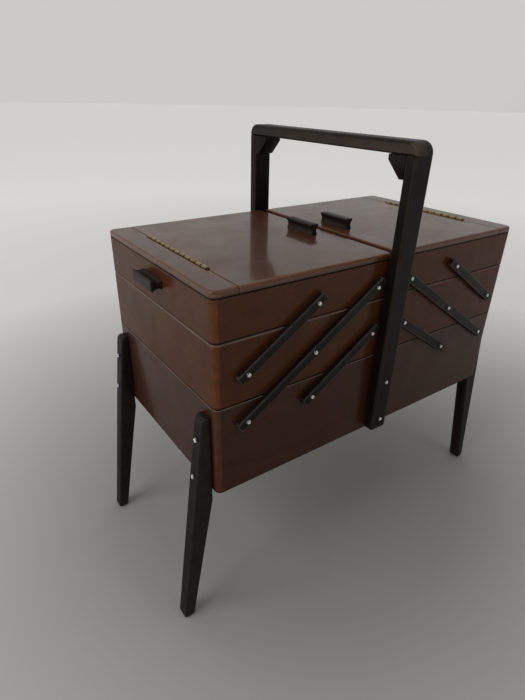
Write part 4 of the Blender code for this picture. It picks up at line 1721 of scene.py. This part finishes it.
# ---- stage and camera --------------------------------------------------------------------
@dataclass(frozen=True)
class Lamp:
    """One square soft light."""

    name: str
    place: Point
    aim: Point
    size: float
    watts: float
    colour: Colour

    def hang(self) -> None:
        """Hang the light and turn it to its aim."""
        data = bpy.data.lights.new(self.name, "AREA")
        data.shape, data.size, data.energy, data.color = "SQUARE", self.size, self.watts, self.colour
        item = bpy.data.objects.new(self.name, data)
        item.location = self.place
        item.rotation_euler = (Vector(self.aim) - Vector(self.place)).to_track_quat("-Z", "Y").to_euler()
        bpy.context.scene.collection.objects.link(item)


@dataclass
class Studio:
    """Pale floor, soft light and the camera."""

    shop: Workshop
    camera_place: Point = (-0.4150, -0.4638, 0.5596)
    yaw: float = 35.564
    pitch: float = 27.789
    roll: float = 1.224
    lens: float = 25.18
    sensor: float = 36.0
    clip: Spot = (0.02, 60.0)
    floor_radius: float = 24.0
    floor_sides: int = 96
    sky: Colour = (0.60, 0.59, 0.57)
    dim_sky: Colour = (0.10, 0.098, 0.095)
    bright_side: Point = (0.15, 0.75, 0.45)
    sky_fade: Spot = (-0.7, 0.6)
    lamps: tuple[Lamp, ...] = (
        Lamp("window_light", (-2.1, 0.1, 2.0), (0.0, 0.0, 0.3), 1.5, 24.0, (1.0, 0.985, 0.96)),
        Lamp("fill_light", (0.6, -2.2, 1.7), (0.0, 0.0, 0.25), 1.2, 6.0, (0.98, 0.99, 1.0)))

    def floor(self) -> None:
        """Lay the floor."""
        bm = bmesh.new()
        bmesh.ops.create_circle(bm, cap_ends=True, segments=self.floor_sides, radius=self.floor_radius)
        mesh = bpy.data.meshes.new("studio_floor")
        bm.to_mesh(mesh)
        bm.free()
        mesh.materials.append(self.shop.material(FLOOR))
        floor = bpy.data.objects.new("studio_floor", mesh)
        bpy.context.scene.collection.objects.link(floor)
        floor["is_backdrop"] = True

    def world(self) -> None:
        """Surround the set with plain soft light."""
        world = bpy.data.worlds.new("studio")
        world.use_nodes = True
        g = Graph(world.node_tree)
        background = world.node_tree.nodes["Background"]
        facing = g.add("VectorMath", operation="DOT_PRODUCT")
        g.put(facing.inputs[0], g.add("TexCoord").outputs["Generated"])
        g.put(facing.inputs[1], Vector(self.bright_side).normalized())
        share = g.between(facing.outputs["Value"], *self.sky_fade)
        g.put(background.inputs["Color"], g.mix(share, self.dim_sky, self.sky))
        background.inputs["Strength"].default_value = 1.0
        bpy.context.scene.world = world

    def camera(self) -> None:
        """Place the camera."""
        yaw, pitch, roll = (math.radians(value) for value in (self.yaw, self.pitch, self.roll))
        ahead = Vector((math.sin(yaw) * math.cos(pitch), math.cos(yaw) * math.cos(pitch), -math.sin(pitch)))
        level = Vector((math.cos(yaw), -math.sin(yaw), 0.0))
        above = level.cross(ahead)
        right = level * math.cos(roll) + above * math.sin(roll)
        up = above * math.cos(roll) - level * math.sin(roll)
        data = bpy.data.cameras.new("camera")
        data.lens, data.sensor_width, data.sensor_fit = self.lens, self.sensor, "AUTO"
        data.clip_start, data.clip_end = self.clip
        camera = bpy.data.objects.new("camera", data)
        camera.matrix_world = Matrix((right, up, -ahead)).transposed().to_4x4()
        camera.location = self.camera_place
        bpy.context.scene.collection.objects.link(camera)
        bpy.context.scene.camera = camera

    def build(self) -> None:
        """Build floor, light and camera."""
        self.floor()
        self.world()
        for lamp in self.lamps:
            lamp.hang()
        bpy.context.scene.view_settings.view_transform = "Standard"
        self.camera()


def main() -> None:
    """Build every sub-assembly in order."""
    logging.basicConfig(level=logging.INFO, format="%(name)s %(message)s")
    for build_group in (build_timber_group, build_wear_group, build_film_group, build_metal_group):
        build_group()
    shop = Workshop()
    Box(shop).build()
    for side in Side:
        SideArms(shop, side).build()
        for face in Face:
            Leg(shop, side, face).build()
    Handle(shop).build()
    Studio(shop).build()
    new_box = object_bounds()
    sizes = {"cad": [list(corner) for corner in CAD_BOX], "visual": [list(corner) for corner in new_box]}
    LOG.info("%d pieces; size %s", shop.count, sizes)


if __name__ == "__main__":
    main()
